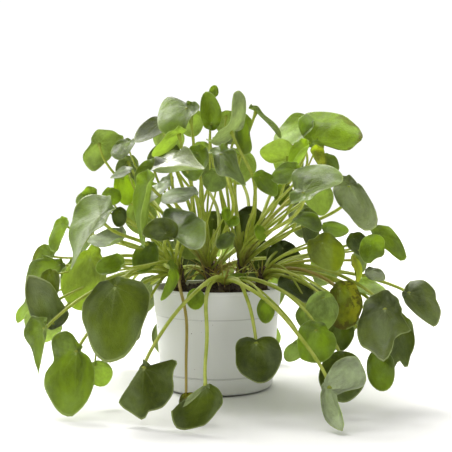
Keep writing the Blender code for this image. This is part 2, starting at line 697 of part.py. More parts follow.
def make_soil():
    """A plug that fills the pot to just under the rim, with a plain hole for each stem."""
    sides = SOIL_SIDES
    floor = CHANNEL_LIFT + FLOOR + GAP
    # The polygons' flats reach inwards, so the plug is drawn in by the flats' depth
    draw_in = RIM_RADIUS * (1 - math.cos(math.pi / POT_SIDES)) + GAP
    corner = floor + FLOOR_CORNER
    side = [(wall_inside(corner) - draw_in, corner)]
    side.append((wall_inside(SOIL_EDGE_TOP) - draw_in, SOIL_EDGE_TOP))
    points = [(0, 0, floor)]
    rings = []
    for radius, height in [(FOOT_RADIUS, floor)] + side:
        rings.append(len(points))
        for i in range(sides):
            angle = 2 * math.pi * i / sides
            points.append((radius * math.cos(angle), radius * math.sin(angle), height))
    for share in SOIL_RINGS:
        radius = share * side[-1][0]
        rings.append(len(points))
        for i in range(sides):
            angle = 2 * math.pi * i / sides
            height = soil_top(radius, angle)
            points.append((radius * math.cos(angle), radius * math.sin(angle), height))
    summit = len(points)
    points.append((0, 0, SOIL_CROWN_TOP))
    faces = []
    for i in range(sides):
        j = (i + 1) % sides
        faces.append((0, rings[0] + j, rings[0] + i))
        faces.append((summit, rings[-1] + i, rings[-1] + j))
        for low, high in zip(rings, rings[1:]):
            faces.append((low + i, low + j, high + j))
            faces.append((low + i, high + j, high + i))
    soil = object_from("soil", points, faces)
    cutters = []
    for x, y, _, _, _, radius, _ in STEMS.values():
        low, high = stem_bottom() - GAP, SOIL_CROWN_TOP + CUTTER_SPARE
        profile = [(0, low), (radius + GAP, low), (radius + GAP, high), (0, high)]
        hole = turned("stem_hole", profile, STEM_SIDES)
        hole.location = (x * MM, y * MM, 0)
        cutters.append(hole)
    bpy.context.view_layer.update()
    combine(soil, cutters, "DIFFERENCE", "EXACT")
    finish(soil, 60)


def stem_bottom():
    return SOIL_EDGE_TOP - STEM_DEPTH


def unit(vector):
    return vector / np.linalg.norm(vector)


def blade_axes(face, lean, spin):
    """Unit vectors of a blade: towards its tip, to its side, and out of its upper face."""
    around, up, turn = np.radians([face, lean, spin])
    normal = np.array([np.sin(around) * np.cos(up), -np.cos(around) * np.cos(up), np.sin(up)])
    down = np.array([np.sin(around) * np.sin(up), -np.cos(around) * np.sin(up), -np.cos(up)])
    across = np.cross(down, normal)
    tip = np.cos(turn) * down - np.sin(turn) * across
    return tip, np.cross(normal, tip), normal


def oval_reach(turn, length, width):
    """Distance from the joint to the edge of an oval, seen from a point nearer its base, with a
    blunt tip."""
    half_length, half_width = length / 2, width / 2
    ahead = length * (0.5 - BASE_SHARE)
    c, s = np.cos(turn), np.sin(turn)
    a = (c / half_length) ** 2 + (s / half_width) ** 2
    b = -2 * c * ahead / half_length**2
    rest = (ahead / half_length) ** 2 - 1
    reach = (-b + np.sqrt(b * b - 4 * a * rest)) / (2 * a)
    off_tip = (turn + np.pi) % (2 * np.pi) - np.pi
    return reach * (1 + TIP_POINT * np.exp(-((off_tip / TIP_SPREAD) ** 2)))


def edge_reach(edge, spin):
    """The same distance for an edge given by points. Between them 1 / reach goes evenly with
    the turn, which is nearly a straight edge, and a mean over a few degrees rounds it off."""
    right, up = np.array(edge, float).T
    turns = np.arctan2(right, -up) - math.radians(spin)
    near = np.interp(TURNS, turns, 1 / np.hypot(right, up), period=2 * np.pi)
    bell = np.exp(-((np.arange(-ROUND, ROUND + 1) / (ROUND / 2)) ** 2))
    closed = np.concatenate([near[-ROUND:], near, near[:ROUND]])
    return 1 / np.convolve(closed, bell / bell.sum(), "valid")


def shaped(stem, order, row):
    """The leaf's row, then its rolls, whose directions are turned to count from the tip, and
    the reach of its outline at TURNS."""
    rolls, edge = SHAPES[stem].get(order, ((), ()))
    spin = row[7]
    rolls = tuple((towards - spin, *bend) for towards, *bend in rolls)
    return row + (rolls, edge_reach(edge, spin) if edge else oval_reach(TURNS, *row[3:5]))


def outline_reach(turn, outline):
    """Distance from the petiole to the edge at any turn."""
    return np.interp(turn, TURNS, outline, period=2 * np.pi)


def roll(along, across, lift, towards, start, bend, width):
    """Wraps the band of the blade that begins start millimetres off the petiole, towards a
    direction, round a cylinder. What lies beyond the band goes straight on."""
    c, s = math.cos(towards), math.sin(towards)
    ahead, aside = along * c + across * s, across * c - along * s
    inside = np.clip(ahead - start, 0, width)
    beyond = np.maximum(ahead - start - width, 0)
    angle = bend * inside
    ahead = np.minimum(ahead, start) + np.sin(angle) / bend + beyond * np.cos(angle)
    raised = (1 - np.cos(angle)) / bend + beyond * np.sin(angle)
    ahead, lift = ahead - lift * np.sin(angle), raised + lift * np.cos(angle)
    return ahead * c - aside * s, ahead * s + aside * c, lift


def blade_surface(leaf, order, share, turn):
    """Points of a blade's middle surface. share is 0 at the petiole and 1 at the edge, and turn
    is the angle from the tip. The cup and the ripple lift the edge, the leaf's own rolls bend
    it, the width is laid on one arc and the length on another, and the tip end turns about the
    midrib."""
    x, y, z, length, width, face, lean, spin, _, form, rolls, outline = leaf
    cup, fold, droop, ripple, twist = FORMS[form]
    tip, side, normal = blade_axes(face, lean, spin)
    reach = share * outline_reach(turn, outline)
    along, across = reach * np.cos(turn), reach * np.sin(turn)
    bend = math.radians(droop) / length + 1e-6
    curl = math.radians(fold) / width + 1e-6
    lift = cup * length * share**2
    lift = lift + ripple * length * share**2 * np.sin(RIPPLES * turn + 2.4 * order)
    for towards, start, degrees, over in rolls:
        ahead = math.radians(towards)
        edge = float(outline_reach(ahead, outline))
        wide = over * length or edge - start * length
        along, across, lift = roll(
            along, across, lift, ahead, start * length, math.radians(degrees) / wide, wide
        )
    sideways = np.sin(curl * across) / curl - lift * np.sin(curl * across)
    lift = (1 - np.cos(curl * across)) / curl + lift * np.cos(curl * across)
    wring = math.radians(twist) * along / length
    turned_side = sideways * np.cos(wring) - lift * np.sin(wring)
    turned_lift = sideways * np.sin(wring) + lift * np.cos(wring)
    forward = np.sin(bend * along) / bend + turned_lift * np.sin(bend * along)
    outward = -(1 - np.cos(bend * along)) / bend + turned_lift * np.cos(bend * along)
    parts = forward[:, None] * tip + turned_side[:, None] * side + outward[:, None] * normal
    return np.array([x, y, z]) + parts


def blade_sheets(leaf, order, share, turn):
    """The upper and lower points of the blade, half its thickness off the middle surface."""
    small = 1e-3
    middle = blade_surface(leaf, order, share, turn)
    outwards = blade_surface(leaf, order, share + small, turn) - middle
    around = blade_surface(leaf, order, share, turn + small) - middle
    normals = np.cross(outwards, around)
    normals /= np.linalg.norm(normals, axis=1)[:, None]
    return middle + normals * BLADE / 2, middle - normals * BLADE / 2


def band(inner, outer):
    """Triangles between two rings of evenly spaced points that may differ in number."""
    faces, i, j = [], 0, 0
    while i < len(inner) or j < len(outer):
        a, b = inner[i % len(inner)], outer[j % len(outer)]
        if (j + 0.5) / len(outer) <= (i + 0.5) / len(inner) and j < len(outer):
            j += 1
            faces.append((a, b, outer[j % len(outer)]))
        else:
            i += 1
            faces.append((a, b, inner[i % len(inner)]))
    return faces


def petiole_path(stem, leaf, order, steps):
    """Points from inside the stem to the blade: off the stem, over its arch and up to the
    blade's underside, on one cubic curve."""
    foot_x, foot_y, top_x, top_y, top_z, _, slim = STEMS[stem]
    x, y, z, _, _, face, lean, spin, arch = leaf[:9]
    normal = blade_axes(face, lean, spin)[2]
    end = np.array([x, y, z], float)
    rise = np.clip((z - LOW_BLADE) / (HIGH_BLADE - LOW_BLADE), 0, 1)
    start_z = LOWEST_ROOT + (top_z - TOP_MARGIN - LOWEST_ROOT) * rise
    share = (start_z - LEAN_FROM) / (top_z - LEAN_FROM)
    lean_x, lean_y = top_x - foot_x, top_y - foot_y
    start = np.array([foot_x + share * lean_x, foot_y + share * lean_y, start_z])
    start += unit((end - start) * (1, 1, 0)) * slim / 2
    handle = np.linalg.norm(end - start) * END_SHARE
    climb = max(end[2] - start_z, 0) * CLIMB_SHARE + arch
    across = unit(np.cross(end - start, (0, 0, 1)))
    sway = SWAY * np.linalg.norm(end - start) * math.sin(SWAY_STEP * order + x)
    first = start + (end - start) * (OUT_SHARE, OUT_SHARE, 0) + np.array([0, 0, climb])
    first = first + across * sway
    hang = np.clip((start_z + HANG_START - z) / HANG_RANGE, -1, 1)
    last = end - normal * handle + np.array([0, 0, hang * handle])
    t = np.linspace(0, 1, steps + 1)[:, None]
    s = 1 - t
    return s**3 * start + 3 * s * s * t * first + 3 * s * t * t * last + t**3 * end


def size_of(leaf):
    length = leaf[3]
    if length < SMALL_LEAF:
        return "small"
    return "large" if length >= LARGE_LEAF else "middle"


def leaf_mesh(stem, leaf, order):
    """One closed body: a slim petiole whose last ring opens into the blade's underside."""
    size = size_of(leaf)
    own_edge = bool(SHAPES[stem].get(order, ((), ()))[1])
    count = (SHAPED_POINTS if own_edge else OUTLINE_POINTS)[size]
    radius = PETIOLE_RADIUS[size]
    tip, side, normal = blade_axes(*leaf[5:8])
    inner_turns = 2 * np.pi * np.arange(PETIOLE_SIDES) / PETIOLE_SIDES
    outer_turns = 2 * np.pi * np.arange(count) / count
    core = JOINT_FLARE * radius / outline_reach(inner_turns, leaf[11])
    middles = [MIDDLE_RING] if size == "large" or leaf[10] or leaf[9] in BENT_FORMS else []
    share = np.concatenate([core] + [np.full(count, s) for s in middles + [1.0]])
    turn = np.concatenate([inner_turns] + [outer_turns] * (len(middles) + 1))
    upper, lower = blade_sheets(leaf, order, share, turn)
    path = petiole_path(stem, leaf, order, PETIOLE_STEPS[size])
    path[-1] -= normal * (BLADE / 2 + radius)
    rings = petiole_rings(path, radius, tip)
    points = np.concatenate([upper, lower] + rings[::-1])
    total = len(upper)
    core_ring = list(range(PETIOLE_SIDES))
    edge_ring = list(range(total - count, total))
    sheet = []
    inner_ring = core_ring
    for first in range(PETIOLE_SIDES, total, count):
        ring = list(range(first, first + count))
        sheet += band(inner_ring, ring)
        inner_ring = ring
    faces = [(a, b, c) for a, b, c in sheet] + [tuple(core_ring)]
    faces += [(a + total, c + total, b + total) for a, b, c in sheet]
    for i, a in enumerate(edge_ring):
        b = edge_ring[(i + 1) % count]
        faces += [(b, a, a + total), (b, a + total, b + total)]
    above = [i + total for i in core_ring]
    for k in range(len(rings)):
        below = [2 * total + k * PETIOLE_SIDES + i for i in range(PETIOLE_SIDES)]
        for i in range(PETIOLE_SIDES):
            j = (i + 1) % PETIOLE_SIDES
            faces.append((above[j], above[i], below[i], below[j]))
        above = below
    faces.append(tuple(reversed(above)))
    return points, faces


def petiole_rings(path, radius, tip):
    """Rings square to the path, carried back from the blade without twisting. They widen a
    little towards the stem."""
    rings = []
    ahead = tip
    for k in range(len(path) - 1, -1, -1):
        tangent = unit(path[min(k + 1, len(path) - 1)] - path[max(k - 1, 0)])
        ahead = unit(ahead - tangent * ahead.dot(tangent))
        beside = np.cross(tangent, ahead)
        wide = radius * (ROOT_SWELL + (BLADE_END - ROOT_SWELL) * k / (len(path) - 1))
        angles = 2 * np.pi * np.arange(PETIOLE_SIDES) / PETIOLE_SIDES
        ring = np.outer(np.cos(angles), ahead) + np.outer(np.sin(angles), beside)
        rings.append(path[k] + wide * ring)
    return rings[::-1]


def trunk_mesh(stem):
    """The stem itself: upright in its hole, then leaning to its top."""
    x, y, top_x, top_y, top_z, wide, slim = STEMS[stem]
    levels = [(0, stem_bottom()), (0, LEAN_FROM), (0.5, (LEAN_FROM + top_z) / 2), (1, top_z)]
    points, faces = [], []
    for k, (share, height) in enumerate(levels):
        radius = wide + share * (slim - wide)
        middle_x, middle_y = x + share * (top_x - x), y + share * (top_y - y)
        for i in range(STEM_SIDES):
            angle = 2 * math.pi * i / STEM_SIDES
            out_x, out_y = radius * math.cos(angle), radius * math.sin(angle)
            points.append((middle_x + out_x, middle_y + out_y, height))
            j = (i + 1) % STEM_SIDES
            if k:
                low, high = (k - 1) * STEM_SIDES, k * STEM_SIDES
                faces.append((low + i, low + j, high + j, high + i))
    faces.append(tuple(reversed(range(STEM_SIDES))))
    last = (len(levels) - 1) * STEM_SIDES
    faces.append(tuple(range(last, last + STEM_SIDES)))
    return points, faces


def make_stem(stem):
    """A trunk joined with all its leaves into one body."""
    trunk = object_from(stem, *trunk_mesh(stem))
    leaves = []
    for order, row in enumerate(LEAVES[stem]):
        points, faces = leaf_mesh(stem, shaped(stem, order, row), order)
        leaves.append(object_from(f"{stem}_leaf_{order}", points, faces))
    bpy.context.view_layer.update()
    combine(trunk, leaves, "UNION", "MANIFOLD")
    finish(trunk)


def main():
    clear_scene()
    make_pot()
    make_soil()
    for stem in STEMS:
        make_stem(stem)


main()
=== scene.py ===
# %% [markdown]
# # A potted Chinese money plant
# The plant is about 330 mm high and grows in a white plastic nursery pot, 140 mm across. The
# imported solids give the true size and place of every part, but with few faces. This script
# keeps that frame and builds the finer surfaces over it: round blades on long petioles, scarred
# stems, crumbly soil and a thin moulded pot. All new shapes are surfaces worked out with numpy.

import itertools
import math
from collections import namedtuple

import bmesh
import bpy
import numpy as np
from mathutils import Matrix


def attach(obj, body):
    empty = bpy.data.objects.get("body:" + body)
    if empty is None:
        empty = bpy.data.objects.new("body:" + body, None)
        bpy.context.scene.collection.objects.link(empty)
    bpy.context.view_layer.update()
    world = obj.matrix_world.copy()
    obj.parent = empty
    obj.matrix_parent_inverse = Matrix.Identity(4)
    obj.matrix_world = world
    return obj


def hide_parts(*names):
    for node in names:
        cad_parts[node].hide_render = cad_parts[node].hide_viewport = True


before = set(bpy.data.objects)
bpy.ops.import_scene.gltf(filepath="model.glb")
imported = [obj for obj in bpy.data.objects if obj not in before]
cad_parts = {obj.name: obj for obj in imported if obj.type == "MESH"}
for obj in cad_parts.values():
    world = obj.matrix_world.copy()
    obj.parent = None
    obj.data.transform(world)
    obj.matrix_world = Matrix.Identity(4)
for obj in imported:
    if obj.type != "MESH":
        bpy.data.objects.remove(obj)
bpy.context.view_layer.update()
MM = 0.001

# %% [markdown]
# ## Camera
# The photograph looks almost level at the plant, from just under 0.9 m in front of the pot and
# a little above the leaves' middle. A lens of 64 mm on a 36 mm sensor gives that field of view.
# The small tilt puts the horizon where the photograph has it, without any lens shift.

# %% Camera
CAMERA_PLACE = (0.0098, -0.868, 0.197)
CAMERA_LENS = 63.7
CAMERA_TILT = 1.58
SENSOR_WIDTH = 36.0
CLIP = (0.05, 20.0)

camera = bpy.data.objects.new("camera", bpy.data.cameras.new("camera"))
camera.data.lens = CAMERA_LENS
camera.data.sensor_width = SENSOR_WIDTH
camera.location = CAMERA_PLACE
camera.rotation_euler = (math.radians(90 - CAMERA_TILT), 0, 0)
camera.data.clip_start, camera.data.clip_end = CLIP
bpy.context.scene.collection.objects.link(camera)
bpy.context.scene.camera = camera
print("camera at", CAMERA_PLACE, "lens", CAMERA_LENS)

# %% [markdown]
# ## Writing shaders as arithmetic
# A material is a graph of nodes, which is long to write out by hand. Wire wraps the output of a
# node, so that plus, minus, times and the rest add a Math node. Graph.node makes any other node
# from its type, its settings and the values or wires of its sockets.

# %% Wires and graphs
class Wire:
    """The output of a node. Arithmetic on it adds Math nodes to its graph."""

    def __init__(self, graph, socket):
        self.graph, self.socket = graph, socket

    def math(self, operation, *values):
        return self.graph.node("Math", {"operation": operation}, list(values))

    def __add__(self, other):
        return self.math("ADD", self, other)

    def __radd__(self, other):
        return self.math("ADD", other, self)

    def __sub__(self, other):
        return self.math("SUBTRACT", self, other)

    def __rsub__(self, other):
        return self.math("SUBTRACT", other, self)

    def __mul__(self, other):
        return self.math("MULTIPLY", self, other)

    def __rmul__(self, other):
        return self.math("MULTIPLY", other, self)

    def __pow__(self, other):
        return self.math("POWER", self, other)

    def __abs__(self):
        return self.math("ABSOLUTE", self)

    def sin(self):
        return self.math("SINE", self)

    def fraction(self):
        return self.math("FRACT", self)

    def clamped(self):
        return self.graph.node("Clamp", {}, [self, 0.0, 1.0])

    def step(self, low, high):
        """0 below low and 1 above high, smooth between. With low above high it falls."""
        settings = {"interpolation_type": "SMOOTHSTEP"}
        return self.graph.node("MapRange", settings, [self, low, high, 0.0, 1.0])

    def between(self, low, high):
        """low where the wire is 0 and high where it is 1."""
        return self * (high - low) + low


class Graph:
    """The nodes of one material or world."""

    def __init__(self, tree, end="OutputMaterial"):
        self.tree, self.end = tree, end
        tree.nodes.clear()

    def node(self, kind, settings=None, values=(), output=0):
        """Adds a node: its settings first, then a value or a wire for each socket."""
        made = self.tree.nodes.new("ShaderNode" + kind)
        for name, value in (settings or {}).items():
            setattr(made, name, value)
        pairs = values.items() if isinstance(values, dict) else enumerate(values)
        for key, value in pairs:
            if isinstance(value, Wire):
                self.tree.links.new(value.socket, made.inputs[key])
            else:
                made.inputs[key].default_value = value
        return Wire(self, made.outputs[output])

    def mixed(self, share, first, second, blend="MIX"):
        """Two colours mixed. Colours are wires or (red, green, blue)."""
        settings = {"data_type": "RGBA", "blend_type": blend}
        return self.node("Mix", settings, {0: share, 6: rgba(first), 7: rgba(second)}, 2)

    def noise(self, place, scale, detail=2.0, roughness=0.5):
        values = {"Vector": place, "Scale": scale, "Detail": detail, "Roughness": roughness}
        return self.node("TexNoise", {}, values, "Fac")

    def bump(self, height, strength, distance):
        """A normal tilted as if the surface had this height, times distance in metres."""
        values = {"Strength": strength, "Distance": distance, "Height": height}
        return self.node("Bump", {}, values, "Normal")

    def plastic(self, colour, roughness, normal):
        """A plain surface without metal, coat or light through it."""
        values = {"Base Color": colour, "Roughness": roughness, "Normal": normal}
        return self.node("BsdfPrincipled", {}, values)

    def attribute(self, name, output="Fac"):
        return self.node("Attribute", {"attribute_name": name}, (), output)

    def grey(self, value):
        """A colour whose three channels are one value."""
        return self.node("CombineColor", {}, [value, value, value])

    def finish(self, shader):
        """Ends the graph in its output node."""
        end = self.tree.nodes.new("ShaderNode" + self.end)
        self.tree.links.new(shader.socket, end.inputs["Surface"])

    def parts(self, vector):
        """The x, y and z of a vector, as three wires."""
        split = self.node("SeparateXYZ", {}, [vector])
        return [Wire(self, socket) for socket in split.socket.node.outputs]


def rgba(colour):
    """A colour as four numbers. A wire stays a wire."""
    return colour if isinstance(colour, Wire) else (*colour, 1.0)


def new_material(name):
    """A new material and the graph of its nodes."""
    material = bpy.data.materials.new(name)
    material.use_nodes = True
    return material, Graph(material.node_tree)


def weighted(wires, weights, base=0.0):
    """The base and each named wire times its weight, added up."""
    total = base
    for name, weight in weights.items():
        total = wires[name] * weight + total
    return total


print("shader helpers ready")

# %% [markdown]
# ## From grids to meshes
# Every surface here is a grid: rows along one parameter and columns along the other. join_grid
# gives its faces for the whole array at once. A column that closes on itself wraps round, and a
# row that shrinks to a point becomes a fan, so that every piece is a closed skin.

# %% Mesh helpers
def join_grid(rows, columns, first=0, flip=False):
    """Faces of a grid of rows by columns that closes round its columns. Point (r, c) has the
    number first + r * columns + c."""
    r, c = np.meshgrid(np.arange(rows - 1), np.arange(columns), indexing="ij")
    a = first + r * columns + c
    b = first + r * columns + (c + 1) % columns
    quads = np.stack([a, b, b + columns, a + columns], axis=-1).reshape(-1, 4)
    return quads[:, ::-1] if flip else quads


def fan(centre, ring, flip=False):
    """Triangles from one point to a closed ring of points."""
    ring = np.asarray(ring)
    middle = np.full(len(ring), centre)
    faces = np.stack([middle, ring, np.roll(ring, -1)], axis=-1)
    return faces[:, ::-1] if flip else faces


def unit(vectors):
    """The vectors scaled to length 1, along the last axis."""
    return vectors / np.maximum(np.linalg.norm(vectors, axis=-1, keepdims=True), 1e-12)


class Skin:
    """Gathers the points, faces and point attributes of one piece, in millimetres."""

    def __init__(self):
        self.points, self.quads, self.triangles = [], [], []
        self.quad_slots, self.triangle_slots, self.extras = [], [], {}
        self.count = 0

    def add(self, points, quads=(), triangles=(), quad_slots=0, triangle_slots=0, **extras):
        """Adds a part. quads and triangles count from the part's own first point. Each slot or
        extra is one value for the part or one for each of its faces or points."""
        points = np.asarray(points, float).reshape(-1, 3)
        if len(quads):
            self.quads.append(np.asarray(quads) + self.count)
            self.quad_slots.append(np.broadcast_to(quad_slots, len(quads)))
        if len(triangles):
            self.triangles.append(np.asarray(triangles) + self.count)
            self.triangle_slots.append(np.broadcast_to(triangle_slots, len(triangles)))
        for name, value in extras.items():
            value = np.asarray(value, float)
            wide = 1 if value.ndim == 0 or value.shape == (len(points),) else value.shape[-1]
            full = np.broadcast_to(value.reshape(-1, wide), (len(points), wide))
            self.extras.setdefault(name, []).append(full)
        self.points.append(points)
        self.count += len(points)

    def build(self, name, materials):
        """Makes one smooth mesh of all that was added, in metres, and links its object."""
        points = np.concatenate(self.points) * MM
        faces = self.quads + self.triangles
        sizes = np.concatenate([np.full(len(f), f.shape[1]) for f in faces])
        corners = np.concatenate([f.ravel() for f in faces])
        slots = np.concatenate(self.quad_slots + self.triangle_slots)
        mesh = bpy.data.meshes.new(name)
        mesh.vertices.add(len(points))
        mesh.vertices.foreach_set("co", points.astype(np.float32).ravel())
        mesh.loops.add(len(corners))
        mesh.loops.foreach_set("vertex_index", corners.astype(np.int32))
        mesh.polygons.add(len(sizes))
        starts = np.concatenate([[0], np.cumsum(sizes)[:-1]])
        mesh.polygons.foreach_set("loop_start", starts.astype(np.int32))
        mesh.update(calc_edges=True)
        for material in materials:
            mesh.materials.append(material)
        mesh.polygons.foreach_set("material_index", slots.astype(np.int32))
        for extra, values in self.extras.items():
            values = np.concatenate(values)
            kind = {1: "FLOAT", 2: "FLOAT2", 3: "FLOAT_VECTOR"}[values.shape[1]]
            layer = mesh.attributes.new(extra, kind, "POINT")
            field = "value" if kind == "FLOAT" else "vector"
            layer.data.foreach_set(field, values.astype(np.float32).ravel())
        mesh.shade_smooth()
        mesh.validate()
        thing = bpy.data.objects.new(name, mesh)
        bpy.context.scene.collection.objects.link(thing)
        triangles = int((sizes - 2).sum())
        print(f"{name}: {len(points)} points, {triangles} triangles")
        return thing


print("mesh helpers ready")

# %% [markdown]
# ## Where the leaves are
# A money plant carries one round blade on each petiole, and the petiole meets the blade inside
# its edge, like the handle of a parasol. One row of the table places one leaf. Sizes are in
# millimetres and angles in degrees. The form says how the blade bends and the tone how old,
# thick or yellow it is; some tones also paint sheen or shade into the colour.

# %% Forms, tones and stems
# Each form: the cup as a share of the length, the fold of the halves and the droop of the length
# in degrees, and the ripple of the edge as a share of the length
FORMS = {
    "flat": (0.04, 4, 12, 0.02),
    "cup": (0.16, 10, -20, 0.02),
    "drape": (0.0, -22, 60, 0.03),
    "fold": (0.0, 55, 15, 0.03),
    "wave": (0.02, 8, 25, 0.06),
}

# Each tone: the blade's colour, the share of light that it lets through, its age and its sheen.
# The silvery and the grey tones paint the white and grey sheen of glossy leaves into their colour,
# and the deep one is partly the leaves' own dark green and partly painted shade inside the plant.
TONES = {
    "deep": ((0.040, 0.058, 0.004), 0.08, 0.0, 0.1),
    "dark": ((0.078, 0.106, 0.006), 0.16, 0.0, 0.25),
    "shiny": ((0.105, 0.135, 0.026), 0.12, 0.0, 0.8),
    "glossy": ((0.130, 0.190, 0.020), 0.26, 0.0, 1.0),
    "under": ((0.270, 0.310, 0.150), 0.24, 0.0, 0.3),
    "mid": ((0.120, 0.176, 0.008), 0.30, 0.0, 0.5),
    "fresh": ((0.165, 0.250, 0.012), 0.40, 0.0, 0.5),
    "bright": ((0.235, 0.350, 0.018), 0.48, 0.0, 0.3),
    "pale": ((0.310, 0.400, 0.130), 0.42, 0.0, 0.6),
    # Painted sheen: a whitish base colour that stands in for the glare on glossy leaves
    "painted_silver_sheen": ((0.430, 0.480, 0.330), 0.30, 0.0, 1.0),
    "grey": ((0.175, 0.210, 0.080), 0.18, 0.0, 1.0),
    "olive": ((0.160, 0.182, 0.004), 0.30, 0.0, 0.1),
    "lime": ((0.350, 0.420, 0.040), 0.40, 0.0, 0.3),
    "yellow": ((0.480, 0.400, 0.030), 0.45, 0.6, 0.2),
    "spotted": ((0.160, 0.175, 0.008), 0.30, 1.0, 0.1),
    "dry": ((0.110, 0.110, 0.020), 0.20, 1.0, 0.1),
    "browned": ((0.160, 0.240, 0.012), 0.38, 0.5, 0.5),
}

# Each stem: foot x and y, top x, y and z, radius at the foot and at the top
STEMS = {
    "stem_left": (-40, -12, -42, -14, 134, 6.5, 5.0),
    "stem_middle": (-8, -4, -9, -4, 138, 6.0, 4.5),
    "stem_centre": (26, 4, 27, 6, 142, 6.0, 4.5),
    "stem_right": (48, -12, 50, -14, 130, 6.5, 5.0),
    "stem_front": (8, -42, 9, -44, 119, 6.0, 4.5),
    "stem_back": (-4, 40, -4, 42, 131, 6.5, 5.0),
}

